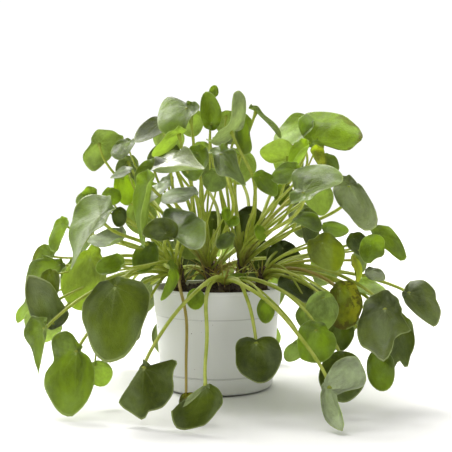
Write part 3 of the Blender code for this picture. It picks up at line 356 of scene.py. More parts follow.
# %% The leaf table
# Each leaf: the joint's x, y and z, length, width, the way the upper face looks (0 = front,
# 90 = right) and how far that looks up, the tip's turn from hanging straight down, the arch of
# the petiole, the form and the tone
LEAVES = {
    "stem_left": (
        (-113, -92, 185, 84, 60, -36, 43, 5, 20, "flat", "glossy"),
        (-163, -20, 176, 36, 34, -40, 20, 0, 20, "flat", "fresh"),
        (-183, 10, 140, 34, 32, -30, 22, -95, 20, "flat", "browned"),
        (-162, -38, 134, 54, 42, -12, 30, -68, 25, "flat", "mid"),
        (-167, -66, 126, 28, 26, -20, 20, 10, 25, "flat", "olive"),
        (-161, -84, 78, 60, 42, 0, 20, -161, 30, "flat", "shiny"),
        (-200, -22, 92, 28, 26, -50, 30, 0, 30, "flat", "fresh"),
        (-181, -52, 83, 40, 40, 170, 30, 0, 30, "flat", "pale"),
        (-164, -106, 77, 50, 44, -34, 8, -3, 30, "flat", "mid"),
        (-129, -130, 59, 74, 54, -14, 16, 4, 30, "flat", "mid"),
        (-118, -90, 38, 25, 24, 20, 20, 30, 30, "flat", "pale"),
        (-93, -130, 120, 80, 72, -8, 12, -4, 28, "flat", "dark"),
        (-128, -56, 141, 62, 56, -20, 16, -8, 25, "flat", "lime"),
        (-89, -114, 139, 30, 24, -30, 35, -70, 25, "cup", "fresh"),
        (-97, -58, 161, 42, 34, -30, 56, -55, 20, "cup", "painted_silver_sheen"),
        (-47, -112, 169, 44, 50, -4, 14, 108, 15, "flat", "dark"),
        (-38, -104, 170, 58, 40, -34, 50, 108, 10, "flat", "glossy"),
        (-68, -46, 152, 34, 28, -20, 25, -15, 10, "flat", "mid"),
        (-42, -90, 134, 46, 15, 50, 5, 0, 15, "drape", "fresh"),
        (-80, -48, 84, 32, 18, -50, 8, 0, 22, "flat", "dark"),
        (-125, 60, 92, 46, 42, -120, 15, 0, 30, "flat", "dark"),
        (-152, 98, 122, 48, 44, -130, 20, 10, 25, "drape", "mid"),
        (-150, 66, 165, 44, 40, -110, 30, -10, 20, "flat", "mid"),
        (-100, -42, 190, 20, 16, 0, 15, 0, 20, "flat", "dark"),
        (-129, -30, 208, 26, 22, -20, 30, -30, 20, "cup", "fresh"),
        (-109, -46, 210, 20, 20, 10, 30, 10, 20, "flat", "bright"),
        (-90, -46, 231, 24, 22, -36, 56, -60, 10, "flat", "painted_silver_sheen"),
        (-24, -90, 206, 36, 32, -20, 62, -78, 8, "flat", "painted_silver_sheen"),
        (-30, 30, 166, 40, 36, 190, 20, 0, 8, "flat", "dark"),
        (-90, 84, 196, 44, 38, 200, 20, 0, 8, "flat", "mid"),
        (-124, 100, 72, 42, 38, 222, 12, 0, 30, "flat", "dark"),
        (-166, 48, 128, 40, 36, -108, 22, 0, 22, "flat", "mid"),
        (-26.5, -150, 20, 30, 20, 0, 10, 60, 30, "flat", "dry"),
    ),
    "stem_middle": (
        (-66, -88, 216, 72, 44, -52, 8, 0, 10, "flat", "fresh"),
        (-50, -52, 220, 40, 24, -34, 50, -12, 10, "flat", "painted_silver_sheen"),
        (-64, -54, 236, 38, 24, -10, 20, -40, 10, "flat", "mid"),
        (-125, -16, 261, 39, 32, 200, 20, 13, 10, "flat", "mid"),
        (-92, -44, 260, 28, 28, -30, 45, 0, 10, "flat", "mid"),
        (-99, -28, 224, 34, 24, 30, 18, 5, 10, "flat", "bright"),
        (-31, -30, 298, 48, 50, -24, 28, -65, 5, "flat", "glossy"),
        (-62, 2, 285, 42, 36, -34, 30, -30, 5, "flat", "dark"),
        (-38, -54, 268, 46, 28, -125, 58, 0, 5, "flat", "fresh"),
        (-46, -8, 252, 36, 28, -10, 20, -75, 5, "flat", "dark"),
        (-47, -80, 239, 64, 38, -34, 50, 78, 5, "flat", "grey"),
        (-20, -40, 250, 42, 34, -15, 32, 5, 5, "flat", "mid"),
        (-4, 4, 315, 13, 11, 0, 0, 170, 5, "cup", "mid"),
        (5, -94, 246, 56, 40, -24, 36, 44, 8, "flat", "glossy"),
        (0, -56, 228, 26, 26, -10, 30, 0, 5, "flat", "pale"),
        (10, -52, 191, 14, 10, 0, 20, 0, 4, "flat", "bright"),
        (14, -42, 180, 18, 14, -20, 30, 60, 4, "cup", "bright"),
        (14, -50, 164, 22, 18, -20, 40, -30, 4, "flat", "mid"),
        (-60, 74, 286, 42, 38, 170, 30, 0, 5, "flat", "mid"),
        (-3, 62, 250, 42, 38, 180, 25, 10, 5, "drape", "dark"),
        (-21, 112, 264, 48, 42, 175, 30, -10, 8, "drape", "mid"),
        (-84, 106, 216, 46, 40, 206, 28, 0, 8, "flat", "mid"),
        (-104, 62, 246, 44, 38, 228, 22, 0, 10, "drape", "dark"),
        (-30, 60, 300, 36, 32, 186, 45, 0, 5, "flat", "mid"),
    ),
    "stem_centre": (
        (-6, -22, 282, 40, 24, 15, 5, 182, 5, "flat", "mid"),
        (15, -50, 271, 54, 44, -112, 38, 180, 5, "flat", "under"),
        (10, -6, 262, 32, 30, 0, 105, 0, 5, "flat", "dark"),
        (27, -28, 283, 42, 32, 45, 8, 0, 5, "flat", "mid"),
        (42, -6, 296, 46, 36, 92, 50, 0, 5, "flat", "mid"),
        (37, 30, 186, 42, 36, 0, 10, 0, 4, "flat", "deep"),
        (44, -46, 172, 18, 13, 20, 30, 0, 4, "flat", "bright"),
        (43, -72, 224, 30, 22, 20, 20, 40, 5, "flat", "fresh"),
        (97, 4, 284, 46, 40, -28, 38, -55, 5, "flat", "pale"),
        (112, -14, 259, 64, 52, -20, 22, 131, 8, "flat", "browned"),
        (75, -20, 247, 38, 34, 0, 130, -60, 5, "flat", "lime"),
        (89, -58, 254, 42, 30, -40, 10, -28, 5, "flat", "bright"),
        (102, -36, 252, 26, 20, 30, 20, 0, 5, "cup", "yellow"),
        (114, -30, 245, 22, 18, 20, 30, 40, 5, "flat", "mid"),
        (78, -72, 231, 30, 24, -20, 30, -65, 5, "flat", "fresh"),
        (85, -96, 209, 48, 52, -26, 32, 116, 5, "flat", "glossy"),
        (136, -50, 216, 74, 44, -28, 24, 35, 12, "flat", "grey"),
        (98, 8, 184, 42, 32, 38, 10, 10, 6, "flat", "dark"),
        (82, -46, 182, 34, 28, 0, 58, 60, 6, "fold", "mid"),
        (73, 14, 215, 26, 22, 0, 20, 0, 5, "flat", "mid"),
        (113, 62, 220, 46, 40, 150, 25, 0, 8, "flat", "mid"),
        (82, 80, 262, 46, 40, 150, 30, 0, 8, "drape", "mid"),
        (24, 100, 256, 46, 42, 168, 28, 0, 8, "flat", "mid"),
        (98, 106, 192, 44, 40, 144, 26, 0, 8, "wave", "dark"),
        (10, 56, 298, 36, 32, 172, 42, 0, 5, "flat", "mid"),
    ),
    "stem_right": (
        (73, 24, 148, 42, 38, 8, 10, 0, 6, "flat", "deep"),
        (77, -42, 118, 46, 36, 20, 62, 0, 6, "flat", "deep"),
        (104, -96, 105, 38, 32, -8, 12, -8, 28, "flat", "pale"),
        (90, -74, 93, 24, 20, -20, 20, 0, 44, "flat", "pale"),
        (122, -80, 112, 48, 34, 5, 8, 0, 25, "flat", "spotted"),
        (127, -50, 76, 34, 28, 0, 10, 0, 30, "flat", "dark"),
        (161, -110, 96, 70, 60, -8, 20, -2, 40, "flat", "shiny"),
        (177, -78, 76, 62, 44, 20, 8, -12, 28, "flat", "dark"),
        (158, -94, 48, 38, 30, 10, 14, 5, 30, "flat", "mid"),
        (197, -52, 105, 52, 38, -22, 28, 38, 25, "flat", "shiny"),
        (104, -84, 159, 42, 40, 5, 8, 24, 12, "flat", "olive"),
        (113, -50, 173, 26, 22, 0, 45, 70, 10, "flat", "fresh"),
        (139, -58, 162, 28, 24, 0, 30, 35, 12, "flat", "dark"),
        (152, -80, 156, 28, 26, -10, 18, -8, 15, "cup", "fresh"),
        (168, -42, 165, 42, 31, 25, 18, 38, 12, "flat", "mid"),
        (137, -70, 141, 32, 18, 58, 10, 20, 15, "fold", "yellow"),
        (157, -50, 128, 22, 18, -10, 50, 50, 18, "flat", "grey"),
        (150, -34, 112, 34, 30, 0, 58, 60, 20, "flat", "pale"),
        (127, 82, 137, 48, 42, 140, 20, 0, 20, "drape", "mid"),
        (190, 50, 60, 44, 38, 100, 15, 0, 30, "flat", "mid"),
        (152, 92, 78, 50, 44, 120, 15, 10, 28, "wave", "dark"),
        (116, 104, 92, 44, 40, 138, 14, 0, 26, "flat", "dark"),
        (160, 36, 150, 38, 34, 104, 26, 0, 16, "drape", "mid"),
    ),
    "stem_front": (
        (-64, -154, 49, 56, 60, 0, 12, -2, 32, "flat", "dark"),
        (-8, -178, 38, 48, 44, 0, 14, -26, 24, "flat", "dark"),
        (-20, -84, 110, 20, 18, 0, 12, 0, 8, "flat", "fresh"),
        (48, -98, 102, 24, 17, 0, 12, 0, 12, "flat", "fresh"),
        (38, -124, 66, 44, 44, 0, 10, -3, 22, "flat", "dark"),
        (94, -124, 78, 36, 38, -12, 24, 0, 20, "flat", "fresh"),
        (80, -106, 62, 24, 20, -30, 40, -20, 22, "flat", "pale"),
        (118.5, -122, 50, 45, 42, 0, 14, 0, 24, "flat", "dark"),
        (101, -168, 34, 66, 50, -6, 24, 21, 24, "flat", "painted_silver_sheen"),
        (28, -54, 121, 20, 10, -30, 60, -80, 4, "cup", "fresh"),
    ),
    "stem_back": (
        (-44, 132, 74, 50, 44, 190, 15, 0, 26, "flat", "mid"),
        (44, 100, 148, 48, 44, 8, 10, 0, 20, "flat", "deep"),
        (0, 150, 118, 46, 42, 180, 30, 0, 20, "flat", "mid"),
        (-64, 106, 146, 46, 42, 200, 30, 10, 15, "flat", "dark"),
        (81, 96, 136, 44, 40, 160, 30, -10, 15, "flat", "mid"),
        (40, 122, 178, 46, 42, 170, 30, 0, 10, "drape", "dark"),
        (-30, 100, 131, 48, 44, 8, 10, 0, 20, "flat", "deep"),
        (-82, 112, 100, 46, 42, 216, 20, 0, 20, "flat", "dark"),
        (66, 124, 104, 44, 40, 150, 20, -10, 20, "drape", "mid"),
        (-6, 70, 180, 44, 40, -8, 12, 0, 14, "flat", "dark"),
        (2, 106, 150, 40, 38, 182, 35, 0, 10, "cup", "mid"),
        (-66, 122, 46, 42, 38, 202, 10, 0, 32, "drape", "dark"),
        (60, 122, 44, 42, 38, 158, 10, 8, 32, "flat", "mid"),
    ),
}
print("leaves in the table:", sum(len(rows) for rows in LEAVES.values()))

# %% [markdown]
# ## How single leaves differ
# No two blades hang alike. Light, age and neighbours curl one side up, fold a half back or draw
# the tip out. The form gives a blade its common bend, and this table adds what only that leaf
# has. A roll wraps the part beyond a straight line round a cylinder, as paper bends, so the
# blade keeps its area. Where the photograph shows an edge well, points give the blade's outline.

# %% Rolls and edges
# For a leaf's row: rolls (towards, from this share of the length, degrees, over this share of
# the length), then points of its edge, in millimetres to the right of the joint and above it. A
# leaf without such points is oval. A roll of more than 0 degrees goes up and over the upper
# face, and one over a share of 0 goes on to the edge. Directions are in degrees as one faces
# the blade, and like the spin they count from straight down: 90 = right, 180 = up.
SHAPES = {
    "stem_left": {
        0: (
            ((100, 0.1, 30, 0.2), (-60, 0.25, -35, 0.0)),
            (
                (6, -68), (-7, -54), (-15, -44), (-24, -30), (-31, -7), (-34, 8), (-30, 17),
                (-24, 24), (-15, 27), (-6, 26), (3, 23), (10, 13), (22, -7), (25, -17),
                (19, -24), (14, -29), (11, -36), (9, -46), (8, -57),
            ),
        ),
        1: (((80, 0.1, 40, 0.0),), ()),
        2: (
            (),
            (
                (-25, 1), (-20, 9), (-12, 13), (-2, 11), (6, 8), (6, -1), (3, -8), (-9, -13),
                (-21, -13), (-27, -7),
            ),
        ),
        3: (
            ((-75, 0.3, -25, 0.2), (160, 0.05, -20, 0.0)),
            (
                (7, -3), (2, -12), (-8, -20), (-23, -36), (-36, -39), (-45, -24), (-47, -8),
                (-40, 6), (-32, 14), (-24, 12), (-15, 6), (-6, 4), (2, 3),
            ),
        ),
        4: (((-60, 0.1, -55, 0.0),), ()),
        5: (
            ((-160, 0.1, 25, 0.15), (-100, 0.15, -30, 0.2)),
            (
                (-17, 49), (-10, 45), (-2, 40), (3, 33), (6, 26), (11, 19), (17, 10), (15, 5),
                (8, -2), (2, -5), (-4, -4), (-8, 2), (-15, 6), (-20, 9), (-22, 18), (-24, 26),
                (-23, 34), (-20, 43),
            ),
        ),
        8: (
            ((80, 0.04, 45, 0.08), (-80, 0.2, -30, 0.0)),
            (
                (-18, 12), (-24, -2), (-19, -19), (-12, -29), (0, -43), (9, -42), (12, -24),
                (10, -7), (7, 5), (-8, 11),
            ),
        ),
        9: (
            ((-100, 0.15, -30, 0.12), (80, 0.15, -30, 0.12), (-10, 0.4, 20, 0.1)),
            (
                (-21, 13), (-17, 18), (-11, 20), (-5, 17), (2, 8), (8, 1), (13, -2), (19, -16),
                (20, -27), (14, -45), (4, -57), (-5, -56), (-12, -52), (-24, -36), (-31, -19),
                (-23, -10), (-22, 4),
            ),
        ),
        11: (
            ((-85, 0.15, -35, 0.2), (80, 0.22, -30, 0.2)),
            (
                (-15, 5), (-4, 6), (11, 8), (26, 5), (34, -5), (34, -12), (29, -30), (20, -50),
                (11, -62), (-4, -68), (-13, -62), (-24, -46), (-34, -30), (-33, -21), (-31, -14),
                (-22, -6), (-19, 0),
            ),
        ),
        12: (
            ((90, 0.1, 35, 0.2), (-90, 0.2, -30, 0.0)),
            (
                (-31, -23), (-27, -14), (-20, -3), (-12, 5), (-5, 10), (2, 14), (7, 13), (15, 7),
                (25, -1), (30, -12), (27, -29), (17, -44), (2, -52), (-10, -51), (-20, -45),
                (-28, -36),
            ),
        ),
        15: (
            ((-60, 0.1, -20, 0.1),),
            (
                (-25, 1), (-22, 8), (-15, 12), (-6, 15), (4, 14), (10, 9), (12, 1), (9, -6),
                (2, -6), (-10, -5), (-20, -3),
            ),
        ),
        16: (
            ((-60, 0.2, -25, 0.2),),
            (
                (-30, 32), (-23, 34), (-14, 33), (-4, 31), (14, 21), (21, 18), (33, 3),
                (42, -12), (42, -21), (35, -24), (24, -21), (11, -13), (-4, -6), (-17, 8),
                (-28, 22),
            ),
        ),
    },
    "stem_middle": {
        0: (((90, 0.08, 60, 0.15),), ()),
        2: (
            ((-40, 0.3, -40, 0.2),),
            (
                (6, 8), (6, 0), (-2, -5), (-9, -11), (-15, -19), (-20, -24), (-20, -12),
                (-15, -2), (-7, 5), (0, 8),
            ),
        ),
        3: (
            ((-60, 0.05, -30, 0.2),),
            (
                (2, 15), (-6, 16), (-13, 15), (-20, 11), (-27, 10), (-21, 3), (-16, -3),
                (-13, -12), (-7, -20), (-1, -27), (5, -31), (11, -27), (16, -18), (16, -11),
                (12, -5), (8, 1), (6, 10),
            ),
        ),
        6: (
            ((75, 0.1, 20, 0.15), (-100, 0.2, -35, 0.0), (-10, 0.3, -25, 0.0)),
            (
                (-29, 18), (-36, 14), (-38, 5), (-37, -6), (-32, -17), (-26, -25), (-18, -30),
                (-10, -31), (-2, -30), (5, -25), (11, -19), (16, -12), (18, -3), (12, 3), (0, 5),
                (-10, 10), (-20, 15),
            ),
        ),
        7: (((0, 0.2, 50, 0.0),), ()),
        10: (
            ((8, 0.3, 80, 0.06), (-120, 0.1, -20, 0.0)),
            (
                (-13, 5), (-15, 15), (-8, 19), (6, 17), (18, 13), (29, 5), (41, -4), (54, -13),
                (46, -17), (34, -22), (24, -26), (12, -29), (-2, -26), (-10, -15), (-12, -4),
            ),
        ),
        11: (((90, 0.1, 40, 0.2),), ()),
        13: (
            ((-60, 0.08, 35, 0.1), (100, 0.05, -35, 0.15)),
            (
                (-13, 2), (-10, 7), (-2, 8), (7, 5), (15, 0), (22, -13), (29, -21), (35, -32),
                (26, -30), (17, -28), (10, -28), (3, -29), (0, -23), (-5, -14), (-10, -5),
            ),
        ),
    },
    "stem_centre": {
        1: (
            ((180, 0.1, 60, 0.0), (0, 0.12, 80, 0.0)),
            (
                (0, 44), (-14, 39), (-21, 23), (-22, 5), (-22, -10), (-18, -23), (-9, -30),
                (0, -32), (9, -30), (18, -23), (22, -10), (22, 5), (21, 23), (14, 39),
            ),
        ),
        3: (((90, 0.1, -35, 0.0),), ()),
        9: (
            ((172, 0.22, -35, 0.1), (60, 0.35, -25, 0.0)),
            (
                (-21, 20), (-15, 29), (-9, 36), (-2, 39), (9, 41), (20, 41), (35, 38), (40, 30),
                (43, 18), (42, 9), (36, 3), (30, -5), (21, -7), (10, -6), (-1, -9), (-8, -1),
                (-16, 9),
            ),
        ),
        11: (((60, 0.08, 120, 0.15), (-90, 0.3, -30, 0.0)), ()),
        15: (
            ((25, 0.1, 28, 0.1), (165, 0.25, -30, 0.15)),
            (
                (-16, 18), (-15, 26), (-11, 32), (-3, 38), (6, 40), (16, 39), (26, 33), (33, 25),
                (35, 17), (33, 9), (29, 5), (22, -2), (13, -9), (7, -14), (1, -19), (-5, -20),
                (-10, -13), (-12, -3), (-11, 3),
            ),
        ),
        16: (
            ((110, 0.1, -35, 0.15), (-60, 0.2, 25, 0.1)),
            (
                (-13, 9), (-4, 9), (6, 4), (18, -8), (27, -23), (31, -34), (32, -44), (28, -49),
                (21, -49), (14, -44), (5, -34), (-5, -25), (-12, -17), (-16, -7), (-16, 3),
            ),
        ),
    },
    "stem_right": {
        4: (
            ((-90, 0.1, -40, 0.1), (100, 0.2, -25, 0.0)),
            (
                (-4, 7), (1, 9), (9, 9), (12, 7), (17, 0), (21, -7), (22, -15), (20, -22),
                (14, -34), (8, -38), (1, -39), (-6, -36), (-9, -30), (-10, -18), (-9, -5),
                (-7, 2),
            ),
        ),
        6: (
            ((95, 0.06, 40, 0.1), (-90, 0.15, -45, 0.15), (10, 0.4, 30, 0.1)),
            (
                (-14, 10), (-8, 16), (-3, 19), (4, 18), (11, 13), (17, 6), (20, 0), (16, -5),
                (21, -14), (28, -20), (17, -23), (12, -27), (9, -34), (7, -41), (4, -51),
                (-2, -57), (-6, -53), (-10, -46), (-15, -39), (-22, -30), (-27, -19), (-29, -10),
                (-27, -4), (-23, 2),
            ),
        ),
        7: (
            ((-80, 0.1, -40, 0.2),),
            (
                (12, 8), (21, -4), (22, -12), (19, -21), (15, -29), (14, -36), (12, -45),
                (8, -39), (4, -33), (1, -37), (-5, -46), (-10, -50), (-15, -43), (-23, -24),
                (-25, -4), (-15, 11), (0, 16),
            ),
        ),
        9: (
            ((130, 0.1, -40, 0.15), (-30, 0.2, 30, 0.1)),
            (
                (0, 16), (7, 18), (16, 14), (25, 9), (27, -2), (33, -16), (31, -28), (26, -34),
                (19, -29), (7, -21), (-1, -14), (-5, -6), (-5, 2), (-3, 10),
            ),
        ),
        10: (
            ((100, 0.1, -35, 0.2), (-90, 0.2, -35, 0.0)),
            (
                (-13, 3), (-7, 4), (-3, 8), (5, 10), (12, 9), (16, 4), (22, -5), (23, -14),
                (22, -22), (18, -28), (14, -30), (8, -28), (-2, -24), (-10, -19), (-14, -11),
                (-14, -2),
            ),
        ),
        13: (
            ((90, 0.15, -50, 0.1),),
            (
                (-9, 2), (-5, 8), (3, 11), (10, 7), (13, -1), (11, -8), (5, -15), (0, -21),
                (-6, -20), (-10, -12), (-11, -4),
            ),
        ),
        14: (
            ((-30, 0.2, -20, 0.2),),
            (
                (-12, 6), (-3, 9), (8, 9), (17, 4), (24, -4), (28, -13), (31, -26), (23, -29),
                (14, -23), (5, -15), (-9, -5),
            ),
        ),
    },
    "stem_front": {
        0: (
            ((-124, 0.03, -150, 0.06), (92, 0.3, 25, 0.0)),
            (
                (6, 3), (15, 6), (24, 9), (32, 6), (29, -1), (28, -8), (29, -15), (28, -22),
                (19, -32), (12, -34), (5, -35), (1, -45), (-5, -43), (-13, -39), (-19, -35),
                (-22, -30), (-25, -21), (-17, -5), (-8, 3),
            ),
        ),
        1: (
            ((-148, 0.02, 165, 0.05),),
            (
                (-30, -18), (-28, -26), (-24, -33), (-17, -35), (-9, -34), (0, -32), (5, -27),
                (10, -21), (15, -14), (14, -6), (11, -1), (6, 2), (0, 3), (-6, 3), (-14, 1),
                (-26, -5),
            ),
        ),
        4: (
            ((90, 0.2, -25, 0.2), (-90, 0.2, -25, 0.2)),
            (
                (-15, 5), (-9, 7), (-4, 6), (0, 4), (6, 7), (13, 7), (19, 3), (23, -5),
                (24, -12), (21, -21), (15, -30), (7, -35), (1, -36), (-6, -33), (-14, -27),
                (-19, -18), (-19, -8), (-18, -1),
            ),
        ),
        5: (
            ((90, 0.05, -35, 0.1), (180, 0.04, -50, 0.0)),
            (
                (-13, 6), (-7, 10), (1, 10), (10, 9), (15, 4), (19, -6), (19, -14), (14, -24),
                (8, -28), (-5, -28), (-14, -26), (-17, -16), (-17, -6),
            ),
        ),
        7: (((-90, 0.1, -30, 0.0),), ()),
        8: (
            ((115, 0.2, -35, 0.15), (21, 0.3, 30, 0.1)),
            (
                (5, 23), (13, 28), (26, 32), (32, 20), (32, 10), (27, 1), (14, -2), (6, -5),
                (7, -13), (11, -23), (17, -35), (14, -40), (8, -38), (1, -33), (-4, -27),
                (-7, -19), (-8, -12), (-7, -2), (-5, 6), (0, 16),
            ),
        ),
    },
    "stem_back": {},
}
print("leaves with a shape of their own:", sum(len(rows) for rows in SHAPES.values()))

# %% [markdown]
# ## The blade as a surface
# The middle of a blade is a function of two parameters: share runs from 0 at the joint to 1 at
# the edge, and turn is the angle round the joint, counted from the tip. First the flat outline
# gives a place along the midrib and across it. Then the edge ripples, the leaf's own rolls bend
# the blade, and the width and the length are each laid on an arc.

# %% Blade surface
BASE_SHARE = 0.2
TIP_POINT = 0.06
TIP_SPREAD = 0.35
TURNS = np.radians(np.arange(360))
ROUND = 5
MAIN_VEINS = 9
PUCKER = 0.5
WANDER = 0.02
UNDULATION = 0.034
TINY = 1e-6
NORMAL_STEP = 1e-3

Leaf = namedtuple("Leaf", "x y z length width face lean spin arch form tone rolls outline")

# Each wave round a blade: how many there are, their shift from leaf to leaf, and their height
RIPPLE = (3, 2.4, 1.0)
EDGE_WAVE = (4, 1.7, 1.0)
FINE_EDGE_WAVE = (7, 2.9, 0.6)
SWELL = (2, 1.3, 1.0)
FINE_SWELL = (5, 4.1, 0.8)


def blade_axes(face, lean, spin):
    """Unit vectors of a blade: towards its tip, to its side, and out of its upper face."""
    around, up, turn = np.radians([face, lean, spin])
    normal = np.array([np.sin(around) * np.cos(up), -np.cos(around) * np.cos(up), np.sin(up)])
    down = np.array([np.sin(around) * np.sin(up), -np.cos(around) * np.sin(up), -np.cos(up)])
    across = np.cross(down, normal)
    tip = np.cos(turn) * down - np.sin(turn) * across
    return tip, np.cross(normal, tip), normal


def oval_reach(turn, length, width):
    """Distance from the joint to the edge of an oval, seen from a point nearer its base, with a
    blunt tip."""
    half_length, half_width = length / 2, width / 2
    ahead = length * (0.5 - BASE_SHARE)
    c, s = np.cos(turn), np.sin(turn)
    a = (c / half_length) ** 2 + (s / half_width) ** 2
    b = -2 * c * ahead / half_length**2
    rest = (ahead / half_length) ** 2 - 1
    reach = (-b + np.sqrt(b * b - 4 * a * rest)) / (2 * a)
    off_tip = (turn + np.pi) % (2 * np.pi) - np.pi
    return reach * (1 + TIP_POINT * np.exp(-((off_tip / TIP_SPREAD) ** 2)))


def edge_reach(edge, spin):
    """The same distance for an edge given by points. Between them 1 / reach goes evenly with
    the turn, which is nearly a straight edge, and a mean over a few degrees rounds it off."""
    right, up = np.array(edge, float).T
    turns = np.arctan2(right, -up) - math.radians(spin)
    near = np.interp(TURNS, turns, 1 / np.hypot(right, up), period=2 * np.pi)
    bell = np.exp(-((np.arange(-ROUND, ROUND + 1) / (ROUND / 2)) ** 2))
    closed = np.concatenate([near[-ROUND:], near, near[:ROUND]])
    return 1 / np.convolve(closed, bell / bell.sum(), "valid")


def shaped(stem, order, row):
    """The leaf of a row, with its rolls, whose directions are turned to count from the tip, and
    the reach of its outline at TURNS."""
    leaf = Leaf(*row, rolls=(), outline=None)
    rolls, edge = SHAPES[stem].get(order, ((), ()))
    rolls = tuple((towards - leaf.spin, *bend) for towards, *bend in rolls)
    oval = oval_reach(TURNS, leaf.length, leaf.width)
    return leaf._replace(rolls=rolls, outline=edge_reach(edge, leaf.spin) if edge else oval)


def wave(turn, order, waves, shift, height):
    """A sine wave of the angle, shifted on from one leaf to the next."""
    return height * np.sin(waves * turn + shift * order)


def outline_reach(turn, outline, order):
    """Distance from the joint to the edge at any turn. Two slow sine waves, other ones on each
    leaf, keep the edge from being perfect."""
    wander = wave(turn, order, *EDGE_WAVE) + wave(turn, order, *FINE_EDGE_WAVE)
    return np.interp(turn, TURNS, outline, period=2 * np.pi) * (1 + WANDER * wander)


def roll(along, across, lift, towards, start, bend, band):
    """Wraps the band of the blade that begins start millimetres off the joint, towards a
    direction, round a cylinder: s becomes start + sin(bend * s) / bend, and the lift
    (1 - cos(bend * s)) / bend. What lies beyond the band goes straight on."""
    c, s = math.cos(towards), math.sin(towards)
    ahead, aside = along * c + across * s, across * c - along * s
    inside = np.clip(ahead - start, 0, band)
    beyond = np.maximum(ahead - start - band, 0)
    angle = bend * inside
    ahead = np.minimum(ahead, start) + np.sin(angle) / bend + beyond * np.cos(angle)
    raised = (1 - np.cos(angle)) / bend + beyond * np.sin(angle)
    ahead, lift = ahead - lift * np.sin(angle), raised + lift * np.cos(angle)
    return ahead * c - aside * s, ahead * s + aside * c, lift


def blade_surface(leaf, order, share, turn):
    """Points of the blade's middle surface.
    along = reach * cos(turn) and across = reach * sin(turn), with reach = share * outline.
    The lift has the cup and the ripple, which grow as share squared, slow undulations, and the
    pucker, low ridges between the main veins. Then the leaf's own rolls bend it, the width is
    laid on an arc of fold degrees, and the length on one of droop degrees."""
    length, outline = leaf.length, leaf.outline
    cup, fold, droop, ripple = FORMS[leaf.form]
    tip, side, normal = blade_axes(leaf.face, leaf.lean, leaf.spin)
    reach = share * outline_reach(turn, outline, order)
    along, across = reach * np.cos(turn), reach * np.sin(turn)
    bend_long = math.radians(droop) / length + TINY
    curl = math.radians(fold) / leaf.width + TINY
    swell = wave(turn, order, *SWELL) + wave(turn, order, *FINE_SWELL) * share
    raised = cup + ripple * wave(turn, order, *RIPPLE) + UNDULATION * swell
    lift = raised * length * share**2
    lift = lift - PUCKER * np.cos(MAIN_VEINS * turn) * np.clip(share, 0, 1) ** 2 * (1 - share**4)
    for towards, start, degrees, over in leaf.rolls:
        ahead = math.radians(towards)
        edge = float(outline_reach(ahead, outline, order))
        band = over * length or edge - start * length
        bend = math.radians(degrees) / band
        along, across, lift = roll(along, across, lift, ahead, start * length, bend, band)
    sideways = np.sin(curl * across) / curl - lift * np.sin(curl * across)
    lift = (1 - np.cos(curl * across)) / curl + lift * np.cos(curl * across)
    arc = bend_long * along
    forward = np.sin(arc) / bend_long + lift * np.sin(arc)
    outward = -(1 - np.cos(arc)) / bend_long + lift * np.cos(arc)
    parts = forward[..., None] * tip + sideways[..., None] * side + outward[..., None] * normal
    return np.array([leaf.x, leaf.y, leaf.z]) + parts


def blade_normals(leaf, order, share, turn):
    """Unit normals out of the upper face, from small steps outwards and around."""
    middle = blade_surface(leaf, order, share, turn)
    outwards = blade_surface(leaf, order, share + NORMAL_STEP, turn) - middle
    around = blade_surface(leaf, order, share, turn + NORMAL_STEP) - middle
    return unit(np.cross(outwards, around))


print("forms:", ", ".join(FORMS))

# %% [markdown]
# ## Blades with a thickness
# A blade is fleshy: most of a millimetre at the joint, and thinner towards a rounded, pale
# margin. The grid is laid on the upper face from the joint outwards, and on the lower face back
# again, so the two faces are one closed skin. Rows crowd towards the edge, where the shape
# turns fastest. Each point keeps its place on the blade, which the material needs for veins.

# %% Blades
THICK_MIDDLE = 0.9
THICK_EDGE = 0.45
CROWDING = 1.3
GRID = {"large": (15, 72), "middle": (11, 54), "small": (8, 36)}
LARGE_LEAF = 44.0
SMALL_LEAF = 29.0
RIM_ROUND = 0.3
SEED_STEP = 3.7
UPPER, LOWER, STALK, BARK = 0, 1, 2, 3


def size_of(leaf):
    """Which grid and which petiole the leaf gets."""
    if leaf.length < SMALL_LEAF:
        return "small"
    return "large" if leaf.length >= LARGE_LEAF else "middle"


